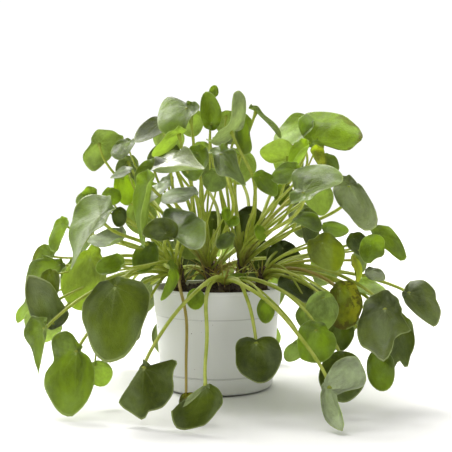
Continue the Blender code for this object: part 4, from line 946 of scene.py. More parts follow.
def add_blade(skin, leaf, order):
    """Adds one blade: rows at share = 1 - (1 - t) ** CROWDING for even t, on the upper face,
    over the rim, and back on the lower face, each half the thickness off the middle surface."""
    rows, columns = GRID[size_of(leaf)]
    even = np.linspace(0, 1, rows + 1)[1:]
    share = (1 - (1 - even) ** CROWDING)[:, None] * np.ones(columns)
    turn = np.ones(rows)[:, None] * (2 * np.pi * np.arange(columns) / columns)
    normals = blade_normals(leaf, order, share, turn)
    middle = blade_surface(leaf, order, share, turn)
    thick = (THICK_MIDDLE + (THICK_EDGE - THICK_MIDDLE) * share**2)[..., None]
    rim = blade_surface(leaf, order, share[-1] * (1 + RIM_ROUND / leaf.length), turn[-1])
    grid = np.concatenate([
        middle + normals * thick / 2,
        rim[None],
        (middle - normals * thick / 2)[::-1],
    ])
    joint = np.array([leaf.x, leaf.y, leaf.z])
    _, _, normal = blade_axes(leaf.face, leaf.lean, leaf.spin)
    hub = normal * THICK_MIDDLE / 2
    points = np.concatenate([grid.reshape(-1, 3), [joint + hub, joint - hub]])
    quads = join_grid(len(grid), columns, flip=True)
    last = len(grid) * columns
    ring = np.arange(columns)
    fans = np.concatenate([fan(last, ring), fan(last + 1, last - columns + ring, flip=True)])
    shares = np.concatenate([share.ravel(), share[-1], share[::-1].ravel(), [0, 0]])
    turns = np.concatenate([turn.ravel(), turn[-1], turn.ravel(), [0, 0]])
    seed = np.full(len(shares), SEED_STEP * order)
    place = np.stack([shares * np.cos(turns), shares * np.sin(turns), seed], axis=-1)
    colour, glow, age, sheen = TONES[leaf.tone]
    skin.add(
        points,
        quads,
        fans,
        np.where(np.arange(len(quads)) < rows * columns, UPPER, LOWER),
        np.where(np.arange(len(fans)) < columns, UPPER, LOWER),
        tone=colour,
        glow=glow,
        age=age,
        sheen=sheen,
        place=place,
    )


print("blade grids:", GRID)

# %% [markdown]
# ## Petioles
# Petioles leave the stem close together, climb, and arch over under the weight of their blades.
# Each is one cubic curve: its first handle climbs out of the stem, and its last one runs along
# the blade's axis, because a petiole meets its blade square on. The tube round it swells at
# both ends, and a slow wobble keeps it from looking like bent wire.

# %% Petioles
SOIL_CROWN_TOP = 110.0
LEAN_FROM = SOIL_CROWN_TOP + 2
LOWEST_ROOT = SOIL_CROWN_TOP + 6
TOP_MARGIN = 2.0
LOW_BLADE = 60.0
HIGH_BLADE = 280.0
OUT_SHARE = 0.35
CLIMB_SHARE = 0.45
END_SHARE = 0.22
HANG_START = 25.0
HANG_RANGE = 80.0
PETIOLE_RADIUS = {"large": 1.75, "middle": 1.45, "small": 1.05}
PETIOLE_STEPS = 26
PETIOLE_COLUMNS = 9
ROOT_SWELL = 1.3
BLADE_END = 0.85
FLARE_LENGTH = 2.5
SHEATH_LENGTH = 5.0
FLARE = 0.7
SHEATH = 0.5
WOBBLE = 0.012
LONG_WOBBLE = (1, 1.0, 1.0)
SHORT_WOBBLE = (2, 2.3, 0.5)
SWAY = 0.22
SWAY_STEP = 2.4
AGE_STEP = 5.3
NO_TONE = (0.0, 0.0, 0.0)


def petiole_path(stem, leaf, order, t):
    """Points of one cubic curve from inside the stem to the blade's joint. A wobble, a sine of
    two waves along t, is added square to the way and fades out at both ends."""
    foot_x, foot_y, top_x, top_y, top_z, _, slim = STEMS[stem]
    _, _, normal = blade_axes(leaf.face, leaf.lean, leaf.spin)
    end = np.array([leaf.x, leaf.y, leaf.z])
    rise = np.clip((leaf.z - LOW_BLADE) / (HIGH_BLADE - LOW_BLADE), 0, 1)
    start_z = LOWEST_ROOT + (top_z - TOP_MARGIN - LOWEST_ROOT) * rise
    share = (start_z - LEAN_FROM) / (top_z - LEAN_FROM)
    lean_x, lean_y = top_x - foot_x, top_y - foot_y
    start = np.array([foot_x + share * lean_x, foot_y + share * lean_y, start_z])
    start += unit((end - start) * (1, 1, 0)) * slim / 2
    handle = np.linalg.norm(end - start) * END_SHARE
    climb = max(leaf.z - start_z, 0) * CLIMB_SHARE + leaf.arch
    across = unit(np.cross(end - start, (0, 0, 1)))
    first = start + (end - start) * (OUT_SHARE, OUT_SHARE, 0) + np.array([0, 0, climb])
    sway = SWAY * math.sin(SWAY_STEP * order + leaf.x)
    first = first + across * sway * np.linalg.norm(end - start)
    hang = np.clip((start_z + HANG_START - leaf.z) / HANG_RANGE, -1, 1)
    last = end - normal * handle + np.array([0, 0, hang * handle])
    t = t[:, None]
    s = 1 - t
    curve = s**3 * start + 3 * s * s * t * first + 3 * s * t * t * last + t**3 * end
    turn = 2 * np.pi * t
    wobble = wave(turn, order, *LONG_WOBBLE) + wave(turn, order, *SHORT_WOBBLE)
    return curve + across * wobble * np.sin(np.pi * t) * WOBBLE * np.linalg.norm(end - start)


def add_tube(skin, path, radius, columns, slot, **extras):
    """A closed tube: rings square to the path, with a fan at each end. The rings' two axes come
    from the horizontal direction across the path, so that they don't twist. Only blades have a
    tone and a sheen."""
    tangent = unit(np.gradient(path, axis=0))
    level = unit(np.cross(path[-1] - path[0], (0, 0, 1)) + np.array([TINY, 0, 0]))
    beside = unit(level - tangent * (tangent @ level)[:, None])
    ahead = np.cross(beside, tangent)
    angle = (2 * np.pi * np.arange(columns) / columns)[None, :, None]
    ring = np.cos(angle) * ahead[:, None] + np.sin(angle) * beside[:, None]
    grid = path[:, None] + ring * np.reshape(radius, (len(path), -1, 1))
    points = np.concatenate([grid.reshape(-1, 3), path[:1], path[-1:]])
    last = len(path) * columns
    fans = np.concatenate([
        fan(last, np.arange(columns), flip=True),
        fan(last + 1, last - columns + np.arange(columns)),
    ])
    along = np.concatenate([np.repeat(np.linspace(0, 1, len(path)), columns), [0, 1]])
    place = np.column_stack([along, np.zeros((len(along), 2))])
    quads = join_grid(len(path), columns)
    skin.add(points, quads, fans, slot, slot, place=place, tone=NO_TONE, sheen=0.0, **extras)


def add_petiole(skin, stem, leaf, order):
    """radius = base * taper * (1 + flare at the blade + sheath at the root), both of them
    exponentials of the distance from their end."""
    t = np.linspace(0, 1, PETIOLE_STEPS + 1)
    path = petiole_path(stem, leaf, order, t)
    run = np.concatenate([[0], np.cumsum(np.linalg.norm(np.diff(path, axis=0), axis=1))])
    taper = ROOT_SWELL + (BLADE_END - ROOT_SWELL) * t
    flare = FLARE * np.exp(-(run[-1] - run) / FLARE_LENGTH) + SHEATH * np.exp(-run / SHEATH_LENGTH)
    radius = PETIOLE_RADIUS[size_of(leaf)] * taper * (1 + flare)
    _, _, dry, _ = TONES[leaf.tone]
    age = 0.5 + 0.5 * math.sin(AGE_STEP * order + leaf.x)
    add_tube(skin, path, radius, PETIOLE_COLUMNS, STALK, glow=dry**2, age=age)


print("petiole steps:", PETIOLE_STEPS)

# %% [markdown]
# ## Stems
# The stem is a short brown trunk. Every fallen leaf leaves a scar on it, so it looks knobbly
# and ringed. Here it is a tube whose radius has a ridge for each ring of scars and smaller
# bumps round it, both of them sines of the height and the angle. Round its foot stand thin
# stalks that have lost their blades.

# %% Stems
SOIL_EDGE_TOP = 99.0
STEM_DEPTH = 14.0
TRUNK_ROWS = 60
TRUNK_COLUMNS = 28
SCAR_SPACING = 5.0
SCAR_HEIGHT = 0.07
RING_TILT = 1.5
KNOB_HEIGHT = 0.05
FLAT_TOP = 0.02

OLD_STALKS = 16
OLD_STALK_STEPS = 9
OLD_STALK_COLUMNS = 6
OLD_STALK_LENGTH = (18, 46)
OLD_STALK_LEAN = (0.25, 1.1)
OLD_STALK_LIFT = (-4, 8)
OLD_STALK_START = 0.6
OLD_STALK_SAG = 0.25
OLD_STALK_RADIUS = (0.5, 1.0)
OLD_STALK_TAPER = 0.5
OLD_STALK_DRYNESS = 1.6
STALK_SEED = 40


def add_trunk(skin, stem, number):
    """A tube along the stem: radius = line from wide to slim * a dome at the top * (1 + rings
    of scars + knobs)."""
    x, y, top_x, top_y, top_z, wide, slim = STEMS[stem]
    height = np.linspace(SOIL_EDGE_TOP - STEM_DEPTH + 1, top_z + 1, TRUNK_ROWS)
    share = np.clip((height - LEAN_FROM) / (top_z - LEAN_FROM), 0, 1)
    path = np.column_stack([x + share * (top_x - x), y + share * (top_y - y), height])
    angle = 2 * np.pi * np.arange(TRUNK_COLUMNS) / TRUNK_COLUMNS
    level = height[:, None] + RING_TILT * np.sin(angle + number)
    rings = np.sqrt(np.abs(np.sin(np.pi * level / SCAR_SPACING)))
    knobs = np.sin(3 * angle + 0.9 * level) * np.sin(2 * angle - 0.6 * level + number)
    dome = np.sqrt(np.clip((top_z + 1 - height) / slim, FLAT_TOP, 1))[:, None]
    radius = (wide + share * (slim - wide))[:, None] * dome
    radius = radius * (1 - SCAR_HEIGHT + SCAR_HEIGHT * rings + KNOB_HEIGHT * knobs)
    add_tube(skin, path, radius, TRUNK_COLUMNS, BARK, glow=0.0, age=1.0)


def add_old_stalks(skin, stem, number):
    """Stalks that lost their blades, round the stem's foot: each one goes out and up from the
    stem, and bends down by the square of the way along it."""
    rng = np.random.default_rng(STALK_SEED + number)
    x, y, _, _, _, wide, _ = STEMS[stem]
    t = np.linspace(0, 1, OLD_STALK_STEPS)
    for _ in range(OLD_STALKS):
        around, lean = rng.uniform(0, 2 * np.pi), rng.uniform(*OLD_STALK_LEAN)
        length, age = rng.uniform(*OLD_STALK_LENGTH), rng.uniform(0, 1)
        foot = LEAN_FROM + rng.uniform(*OLD_STALK_LIFT)
        along = OLD_STALK_START * wide + length * np.sin(lean) * t
        up = foot + length * (np.cos(lean) * t - OLD_STALK_SAG * t**2)
        path = np.column_stack([x + np.cos(around) * along, y + np.sin(around) * along, up])
        radius = rng.uniform(*OLD_STALK_RADIUS) * (1 - OLD_STALK_TAPER * t)
        dry = min(1.0, OLD_STALK_DRYNESS * age)
        add_tube(skin, path, radius, OLD_STALK_COLUMNS, STALK, glow=dry, age=age)


print("stems:", ", ".join(STEMS))

# %% [markdown]
# ## Leaf colour
# A money plant's leaf is glossy and a little fleshy. From the joint, pale veins run out to the
# edge and curve towards the tip, with short rungs of finer ones between. The upper face is deep
# and smooth, with a grey sheen painted into its colour in places, the lower one dull and pale.
# Light also comes through, more through young leaves than through old ones. So each face is a
# glossy shader mixed with a translucent one. All that varies reads the place on the blade that
# each point kept, so that no image is needed: noises of several sizes lighten, darken and dent
# the blade and break its gloss into patches, and the leaf's age brings yellow blotches and brown
# spots and rims. The largest patches of lightness are painted light and shade, and the pale
# margin also paints the light that the rim catches.

# %% Vein pattern
SIDE_VEINS = 7.0
SIDE_SLANT = 3.2
VEIN_CURVE = 0.35
VEIN_WIDTH = 0.014
VEIN_TAPER = 1.15

# Each pair: where a mask begins and where it is full
VEIN_EDGES = (2.2, 0.6)
SIDE_EDGES = (0.07, 0.02)
SIDE_OFF_MAIN = (0.0, 0.06)
SIDE_OFF_JOINT = (0.12, 0.3)
JOINT_SPOT = (0.063, 0.027)
MARGIN = (0.960, 0.972)


def vein_pattern(graph):
    """The share and masks of a blade: main veins, side veins, the joint's spot and the margin.
    A vein starts at an angle a and keeps turn + VEIN_CURVE * share * sin(turn) = a."""
    x, y, _ = graph.parts(graph.attribute("place", "Vector"))
    share = (x * x + y * y) ** 0.5
    turn = y.math("ARCTAN2", y, x)
    start = turn + turn.sin() * share * VEIN_CURVE
    lane = (start * (MAIN_VEINS / (2 * math.pi)) + 0.5).fraction() - 0.5
    off_vein = abs(lane)
    reach = off_vein * share * (2 * math.pi / MAIN_VEINS)
    width = (VEIN_TAPER - share) * VEIN_WIDTH
    main = reach.step(width * VEIN_EDGES[0], width * VEIN_EDGES[1])
    rung = abs((share * SIDE_VEINS - off_vein * SIDE_SLANT).fraction() - 0.5)
    side = rung.step(*SIDE_EDGES) * off_vein.step(*SIDE_OFF_MAIN) * share.step(*SIDE_OFF_JOINT)
    return share, main, side, share.step(*JOINT_SPOT), share.step(*MARGIN)


print("veins to the edge:", MAIN_VEINS)

# %% Leaf colours and noises
THROUGH_COLOUR = (0.80, 1.0, 0.16, 1.0)
PALE_GREEN = (0.52, 0.60, 0.24)
UNDER_GREEN = (0.36, 0.44, 0.20)
# Painted sheen: the grey that stands in for the sheen of glossy upper faces
PAINTED_SHEEN_GREY = (0.17, 0.20, 0.13)
WILT_YELLOW = (0.42, 0.38, 0.02)
WILT_BROWN = (0.085, 0.032, 0.014)

# Each noise on a blade: its scale, detail and roughness
NOISES = {
    "light_patches": (0.9, 1.0, 0.5),
    "painted_sheen": (1.3, 2.0, 0.5),
    "patches": (1.9, 3.0, 0.6),
    "mottle": (2.4, 4.0, 0.6),
    "quilt": (7.0, 3.0, 0.6),
    "speckle": (26.0, 2.0, 0.5),
}
LIGHT_PATCH_EDGES = (0.36, 0.64)
PAINTED_SHEEN_EDGES = (0.42, 0.60)
PATCH_EDGES = (0.40, 0.60)
CELLS = 22.0
CELL_EDGES = (0.0, 0.25)
VEIN_FADE = (0.9, 0.0)

# What each noise adds to the blade's lightness, to its relief and to the light it lets through.
# In the lightness, the large light patches are painted light and shade, and the quilt's share
# paints the shade of its own dents.
SHADE = {"light_patches": 0.70, "mottle": 1.10, "quilt": 1.10, "speckle": 0.30}
SHADE_BASE = -0.54
RELIEF = {"mottle": 2.0, "quilt": 1.2}
CELL_RELIEF = 0.4
THROUGH = {"quilt": 0.5, "light_patches": 0.3}
THROUGH_BASE = 0.55

# What differs between the faces: how far pale green covers the main veins, the side veins and
# the joint, how far the two kinds of vein stand out, the share of the sheen, and the roughness
Face = namedtuple("Face", "main side joint main_rise side_rise sheen rough")
UPPER_FACE = Face(0.10, 0.02, 0.55, -0.35, -0.2, 1.0, 0.36)
LOWER_FACE = Face(0.30, 0.10, 0.40, 0.8, 0.4, 0.5, 0.50)
PAINTED_SHEEN_COVER = 0.30
UNDER_COVER = 0.55
RIM_LIGHT_MARGIN_COVER = 0.42
LEAF_ROUGH = {"speckle": 0.10, "mottle": 0.12}
LEAST_SHEEN = 0.15
LEAF_BUMP = (0.9, 0.001)
LEAF_SPECULAR = 0.15
COAT_ROUGHNESS = 0.38
COAT_IOR = 1.55

# Each mark of age: its noise, what the place on the blade adds, where the mark begins and is
# full, and the ages between which it comes in
YELLOWING = ((1.2, 3.0, 0.6), 0.5, (0.45, 0.75), (0.55, 0.9))
SPOTS = ((3.2, 3.0, 0.6), 0.14, (0.60, 0.66), (0.5, 1.0))
BROWN_RIM = ((1.7, 3.0, 0.6), 0.7, (1.16, 1.23), (0.2, 0.5))


def age_mark(graph, place, pull, kind):
    """A mask of one mark: noise pulled up by the place, and only from a certain age."""
    noise, weight, edges, ages = kind
    field = graph.noise(place, *noise) + pull * weight
    return field.step(*edges) * graph.attribute("age").step(*ages)


def aged(graph, colour, place, share):
    """Yellow blotches, then brown ones that start at the edge, as strong as the leaf's age."""
    _, right, _ = graph.parts(place)
    colour = graph.mixed(age_mark(graph, place, right, YELLOWING), colour, WILT_YELLOW)
    brown = age_mark(graph, place, share, SPOTS) + age_mark(graph, place, share, BROWN_RIM)
    return graph.mixed(brown.clamped(), colour, WILT_BROWN)


print("noises on a blade:", ", ".join(NOISES))

# %% Leaf materials
def leaf_colour(graph, place, noises, face):
    """The leaf's tone under a painted grey sheen on the upper face or a pale green veil on the
    lower one, times its lightness, which paints patches of light and shade, with pale veins and
    joint and a pale margin that is also a painted rim highlight, and with its age over all. Gives
    the masks of the veins too."""
    share, main, side, joint, margin = vein_pattern(graph)
    tone = graph.attribute("tone", "Color")
    if face is LOWER_FACE:
        colour = graph.mixed(UNDER_COVER, tone, UNDER_GREEN)
    else:
        # Painted sheen: grey patches over the upper face stand in for the sheen of a glossy leaf
        colour = graph.mixed(noises["painted_sheen"].step(*PAINTED_SHEEN_EDGES) * PAINTED_SHEEN_COVER, tone, PAINTED_SHEEN_GREY)
    # Lightness from the noises: its large patches paint light and shade, the quilt the shade of its
    # dents
    colour = graph.mixed(1.0, colour, graph.grey(weighted(noises, SHADE, SHADE_BASE)), "MULTIPLY")
    main = main * share.step(*VEIN_FADE)
    colour = graph.mixed(main * face.main + side * face.side, colour, PALE_GREEN)
    colour = graph.mixed(joint * face.joint, colour, PALE_GREEN)
    # Painted rim highlight: the pale margin is partly the rim's own colour and partly the light it
    # catches
    colour = graph.mixed(margin * RIM_LIGHT_MARGIN_COVER, colour, PALE_GREEN)
    return aged(graph, colour, place, share), main, side


def leaf_material(name, face):
    """Gloss with a patchy coat, mixed with light that comes through by the glow attribute."""
    material, graph = new_material(name)
    place = graph.attribute("place", "Vector")
    noises = {kind: graph.noise(place, *values) for kind, values in NOISES.items()}
    noises["light_patches"] = noises["light_patches"].step(*LIGHT_PATCH_EDGES)
    colour, main, side = leaf_colour(graph, place, noises, face)
    settings = {"feature": "DISTANCE_TO_EDGE"}
    cells = graph.node("TexVoronoi", settings, {"Vector": place, "Scale": CELLS})
    veins = main * face.main_rise + side * face.side_rise
    relief = weighted(noises, RELIEF, veins + cells.step(*CELL_EDGES) * CELL_RELIEF)
    patches = noises["patches"].step(*PATCH_EDGES).between(LEAST_SHEEN, 1.0)
    gloss = graph.node("BsdfPrincipled", {}, {
        "Base Color": colour,
        "Roughness": weighted(noises, LEAF_ROUGH, face.rough),
        "Specular IOR Level": LEAF_SPECULAR,
        "Normal": graph.bump(relief, *LEAF_BUMP),
        "Coat Weight": graph.attribute("sheen") * patches * face.sheen,
        "Coat Roughness": COAT_ROUGHNESS,
        "Coat IOR": COAT_IOR,
    })
    through = graph.node("BsdfTranslucent", {}, {"Color": THROUGH_COLOUR})
    share_through = graph.attribute("glow") * weighted(noises, THROUGH, THROUGH_BASE)
    graph.finish(graph.node("MixShader", {}, [share_through.clamped(), gloss, through]))
    return material


leaf_upper = leaf_material("leaf_upper", UPPER_FACE)
leaf_lower = leaf_material("leaf_lower", LOWER_FACE)
print("leaf materials:", leaf_upper.name, leaf_lower.name)

# %% [markdown]
# ## Petiole and stem colour
# A petiole is pale green, juicy and smooth, and turns brownish where it leaves the stem. The
# stem is cork brown with greyer ridges where leaves have dropped.

# %% Petiole and stem materials
STALK_GREEN = (0.33, 0.40, 0.035)
STALK_PALE = (0.50, 0.55, 0.10)
STALK_BROWN = (0.20, 0.115, 0.04)
STALK_DRY = (0.42, 0.24, 0.07)
THROUGH_STALK = (0.70, 0.80, 0.10, 1.0)
STALK_GLOW = 0.22
PATCH_NOISE = (90.0, 3.0, 0.6)
FIBRE_NOISE = (900.0, 2.0, 0.6)
PATCH_RANGE = (0.3, 0.7)
FRECKLE_EDGES = (0.62, 0.72)
FRECKLE_COVER = 0.25
BROWN_FOOT = (0.16, 0.0)
BROWN_BY_AGE = (0.10, 0.70)
DRY_COVER = 0.75
STALK_ROUGH = (0.34, 0.54)
STALK_BUMP = (0.3, 0.0003)

BARK_DARK = (0.050, 0.028, 0.016)
BARK_LIGHT = (0.20, 0.145, 0.085)
BARK_NOISE = (160.0, 4.0, 0.65)
GRAIN_NOISE = (1400.0, 3.0, 0.6)
RING_WANDER = 2.2
BARK_SHARES = {"patch": 0.9, "ring": 0.5, "grain": 0.4}
BARK_EDGES = (0.55, 1.1)
BARK_RELIEF = {"patch": 1.0, "grain": 0.4}
BARK_ROUGH = (0.7, 0.9)
BARK_BUMP = (0.6, 0.0008)


def stalk_material():
    """Pale green with paler patches and brown freckles, browner at the foot, and brown all over
    where the glow attribute says that a stalk is dry."""
    material, graph = new_material("petiole")
    along, _, _ = graph.parts(graph.attribute("place", "Vector"))
    where = graph.node("TexCoord", {}, (), "Object")
    fine = graph.noise(where, *FIBRE_NOISE)
    patch = graph.noise(where, *PATCH_NOISE).step(*PATCH_RANGE)
    colour = graph.mixed(patch, STALK_GREEN, STALK_PALE)
    brown = along.step(*BROWN_FOOT) * graph.attribute("age").between(*BROWN_BY_AGE)
    colour = graph.mixed(brown, colour, STALK_BROWN)
    colour = graph.mixed(graph.attribute("glow") * DRY_COVER, colour, STALK_DRY)
    colour = graph.mixed(fine.step(*FRECKLE_EDGES) * FRECKLE_COVER, colour, STALK_BROWN)
    rind = graph.plastic(colour, fine.between(*STALK_ROUGH), graph.bump(fine, *STALK_BUMP))
    juice = graph.node("BsdfTranslucent", {}, {"Color": THROUGH_STALK})
    graph.finish(graph.node("MixShader", {}, [STALK_GLOW, rind, juice]))
    return material


def bark_material():
    """Dark cork with lighter rings, one for each ring of scars."""
    material, graph = new_material("stem_bark")
    where = graph.node("TexCoord", {}, (), "Object")
    _, _, height = graph.parts(where)
    patch = graph.noise(where, *BARK_NOISE)
    grain = graph.noise(where, *GRAIN_NOISE)
    rings_per_metre = 1 / (SCAR_SPACING * MM)
    ring = abs((height * rings_per_metre + patch * RING_WANDER).fraction() - 0.5)
    wires = {"patch": patch, "ring": ring, "grain": grain}
    colour = graph.mixed(weighted(wires, BARK_SHARES).step(*BARK_EDGES), BARK_DARK, BARK_LIGHT)
    bump = graph.bump(weighted(wires, BARK_RELIEF), *BARK_BUMP)
    graph.finish(graph.plastic(colour, grain.between(*BARK_ROUGH), bump))
    return material


stalk = stalk_material()
bark = bark_material()
print("stem materials:", stalk.name, bark.name)

# %% [markdown]
# ## Six leafy stems
# A grown plant like this one sends up several stems close together. Each is one piece: trunk,
# petioles and blades. It stands in for the plain solid of the same stem.

# %% Build the stems
for number, stem in enumerate(STEMS):
    skin = Skin()
    add_trunk(skin, stem, number)
    add_old_stalks(skin, stem, number)
    for order, row in enumerate(LEAVES[stem]):
        leaf = shaped(stem, order, row)
        add_petiole(skin, stem, leaf, order)
        add_blade(skin, leaf, order)
    piece = skin.build("leafy_" + stem, (leaf_upper, leaf_lower, stalk, bark))
    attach(piece, "root")
    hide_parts(stem)

# %% [markdown]
# ## Pot
# The pot is a thin injection-moulded shell. It tapers to its foot, has a plain band at the top
# that ends in a small step, and rolls over into a narrow lip. Underneath, water leaves through
# six holes in a raised channel and through low notches in the foot ring. The wall is a turned
# profile: a line of radius and height, with its corners rounded by short arcs. The holes and
# notches are cut by Boolean modifiers, which are applied at once. A cut leaves points on top of
# one another, so the result is welded, and its edges are then shaded sharp where they turn far.

# %% Pot sizes and profile
POT_HEIGHT = 108.0
RIM_RADIUS = 70.0
TAPER = 0.077
WALL = 1.6
LIP_HEIGHT = 3.0
LIP_STEP = 0.5
BAND_HEIGHT = 80.0
BAND_STEP = 0.7
GROOVE_HEIGHT = 19.0
GROOVE_WIDTH = 1.4
GROOVE_DEPTH = 1.0
FOOT_RADIUS = 52.5
FOOT_WIDTH = 5.0
FOOT_ROUND = 6.0
DISC_RADIUS = 26.0
CHANNEL_LIFT = 3.0
FLOOR = 1.6
FLOOR_CORNER = 3.0
POT_COLUMNS = 192
ROUND_STEPS = 5


def wall_outside(height):
    """The outer radius at a height: a plain taper, stepped in below the band."""
    step = LIP_STEP if height >= BAND_HEIGHT else LIP_STEP + BAND_STEP
    return RIM_RADIUS - step - TAPER * (POT_HEIGHT - height)


def wall_inside(height):
    """The inner radius at a height: the same taper, without the step."""
    return RIM_RADIUS - LIP_STEP - BAND_STEP - WALL - TAPER * (POT_HEIGHT - height)


def rounded(corners):
    """A line whose corners (radius, height, rounding) become arcs: between the two points at
    the rounding's distance from a corner, a curve of second degree with its handle there."""
    line = [corners[0][:2]]
    for before, here, after in zip(corners, corners[1:], corners[2:]):
        middle = np.array(here[:2])
        if not here[2]:
            line.append(tuple(middle))
            continue
        start = middle + unit(np.array(before[:2]) - middle) * here[2]
        end = middle + unit(np.array(after[:2]) - middle) * here[2]
        t = np.linspace(0, 1, ROUND_STEPS)[:, None]
        arc = (1 - t) ** 2 * start + 2 * t * (1 - t) * middle + t * t * end
        line += [tuple(point) for point in arc]
    line.append(corners[-1][:2])
    return np.array(line)


def pot_profile():
    """The wall from the middle of the underside, up the outside, over the lip and down inside
    to the middle of the floor: each corner's radius, height and rounding."""
    lip_bottom = POT_HEIGHT - LIP_HEIGHT
    floor_top = CHANNEL_LIFT + FLOOR
    corner = floor_top + FLOOR_CORNER
    return rounded([
        (0.0, 0.0, 0),
        (DISC_RADIUS, 0.0, 0.5),
        (DISC_RADIUS + CHANNEL_LIFT, CHANNEL_LIFT, 0.6),
        (FOOT_RADIUS - FOOT_WIDTH, CHANNEL_LIFT, 0.5),
        (FOOT_RADIUS - FOOT_WIDTH, 0.0, 0.4),
        (FOOT_RADIUS, 0.0, 0.5),
        (wall_outside(FOOT_ROUND) - 0.8, 0.3 * FOOT_ROUND, 2.4),
        (wall_outside(GROOVE_HEIGHT - GROOVE_WIDTH), GROOVE_HEIGHT - GROOVE_WIDTH, 0.2),
        (wall_outside(GROOVE_HEIGHT) - GROOVE_DEPTH, GROOVE_HEIGHT - GROOVE_WIDTH / 2, 0.3),
        (wall_outside(GROOVE_HEIGHT), GROOVE_HEIGHT, 0.2),
        (wall_outside(BAND_HEIGHT - BAND_STEP), BAND_HEIGHT - BAND_STEP, 0.2),
        (wall_outside(BAND_HEIGHT), BAND_HEIGHT, 0.2),
        (wall_outside(lip_bottom - LIP_STEP), lip_bottom - LIP_STEP, 0.2),
        (RIM_RADIUS, lip_bottom, 0.4),
        (RIM_RADIUS, POT_HEIGHT, 0.7),
        (wall_inside(POT_HEIGHT), POT_HEIGHT, 0.7),
        (wall_inside(corner), corner, 2.0),
        (FOOT_RADIUS + FLOOR, floor_top, 2.0),
        (DISC_RADIUS + FLOOR + 1.0, floor_top, 0.8),
        (DISC_RADIUS - FLOOR, FLOOR, 0.8),
        (0.0, FLOOR, 0),
    ])


def add_turned(skin, profile, columns):
    """Turns a profile that starts and ends on the axis round +Z: point (r, h) goes to
    (r cos a, r sin a, h), and the two ends on the axis close as fans."""
    angle = 2 * np.pi * np.arange(columns) / columns
    radius, height = profile[1:-1, 0, None], profile[1:-1, 1, None]
    grid = np.stack([radius * np.cos(angle), radius * np.sin(angle), height + 0 * angle], axis=-1)
    ends = [(0, 0, profile[0, 1]), (0, 0, profile[-1, 1])]
    points = np.concatenate([grid.reshape(-1, 3), ends])
    last = len(grid) * columns
    fans = np.concatenate([
        fan(last, np.arange(columns), flip=True),
        fan(last + 1, last - columns + np.arange(columns)),
    ])
    skin.add(points, join_grid(len(grid), columns), fans)


print("points in the pot's profile:", len(pot_profile()))

# %% Pot with its holes and notches
HOLES = 6
HOLE_RADIUS = 4.5
HOLE_SIDES = 24
HOLE_CIRCLE = 38.0
NOTCH_WIDTH = 15.0
NOTCH_HEIGHT = 2.4
CUTTER_SPARE = 8.0
WELD = 1e-6
SHARP_ANGLE = 38


def cutter(name, points, quads, triangles=()):
    """A hidden body that the pot's modifiers take away."""
    skin = Skin()
    skin.add(points, quads, triangles)
    thing = skin.build(name, ())
    thing.hide_render = True
    thing.display_type = "WIRE"
    return thing


def hole_cutter(angle):
    """An upright rod on the hole circle."""
    low, high = -CUTTER_SPARE, CHANNEL_LIFT + FLOOR + CUTTER_SPARE
    rod = np.array([(0, low), (HOLE_RADIUS, low), (HOLE_RADIUS, high), (0, high)])
    skin = Skin()
    add_turned(skin, rod, HOLE_SIDES)
    shift = HOLE_CIRCLE * np.array([np.cos(angle), np.sin(angle), 0])
    return cutter("hole", skin.points[0] + shift, skin.quads[0], skin.triangles[0])


def notch_cutter(angle):
    """A box across the foot ring."""
    near, far = FOOT_RADIUS - FOOT_WIDTH - CHANNEL_LIFT, FOOT_RADIUS + CUTTER_SPARE
    half = NOTCH_WIDTH / 2
    corners = [(near, -half), (far, -half), (far, half), (near, half)]
    points = np.array([(x, y, z) for z in (-CUTTER_SPARE, NOTCH_HEIGHT) for x, y in corners])
    c, s = np.cos(angle), np.sin(angle)
    turn = np.array([(c, s, 0), (-s, c, 0), (0, 0, 1)])
    caps = np.array([(3, 2, 1, 0), (4, 5, 6, 7)])
    return cutter("notch", points @ turn, np.concatenate([caps, join_grid(2, 4)]))


def cut(piece, cutters):
    """Takes each cutter out of the piece, welds what is left and removes the cutters."""
    for tool in cutters:
        boolean = piece.modifiers.new("cut", "BOOLEAN")
        boolean.object = tool
        boolean.operation = "DIFFERENCE"
    graph = bpy.context.evaluated_depsgraph_get()
    result = bpy.data.meshes.new_from_object(piece.evaluated_get(graph))
    weld = bmesh.new()
    weld.from_mesh(result)
    bmesh.ops.remove_doubles(weld, verts=weld.verts, dist=WELD)
    bmesh.ops.dissolve_degenerate(weld, edges=weld.edges, dist=WELD)
    weld.to_mesh(result)
    weld.free()
    piece.modifiers.clear()
    piece.data = result
    for tool in cutters:
        bpy.data.objects.remove(tool, do_unlink=True)


print("holes in the floor and notches in the foot ring:", HOLES, "each")

# %% Pot material
POT_WHITE = (0.76, 0.77, 0.76)
POT_CREAM = (0.60, 0.58, 0.50)
POT_DIRT = (0.16, 0.11, 0.06)
# Painted shade for the moulded lines
PAINTED_LINE_SHADE = (0.34, 0.34, 0.33)
FLOW_NOISE = (120.0, 3.0, 0.5)
FLOW_SQUEEZE = (1.0, 1.0, 0.12)
CLOUD_NOISE = (22.0, 3.0, 0.6)
DUST_EDGES = (0.52, 0.85)
DUSTY_FOOT = (0.02, 0.0)
FOOT_DUST = 0.25
CREAM_SHARES = {"flow": 0.10, "dust": 0.16}
SPECK_NOISE = (300.0, 1.0, 0.4)
SPECK_EDGES = (0.77, 0.79)
SPECK_COVER = 0.8
PLASTIC_NOISE = (2600.0, 2.0, 0.5)
POT_ROUGH = 0.36
ROUGH_SHARES = {"flow": 0.10, "speck": 0.3}
POT_RELIEF = {"flow": 1.0, "grain": 0.5}
POT_BUMP = (0.25, 0.0002)
LINE_SHADE_EDGES = (0.0009, 0.0002)
LINE_SHADE_COVER = 0.45
UNDER_BAND = 0.5


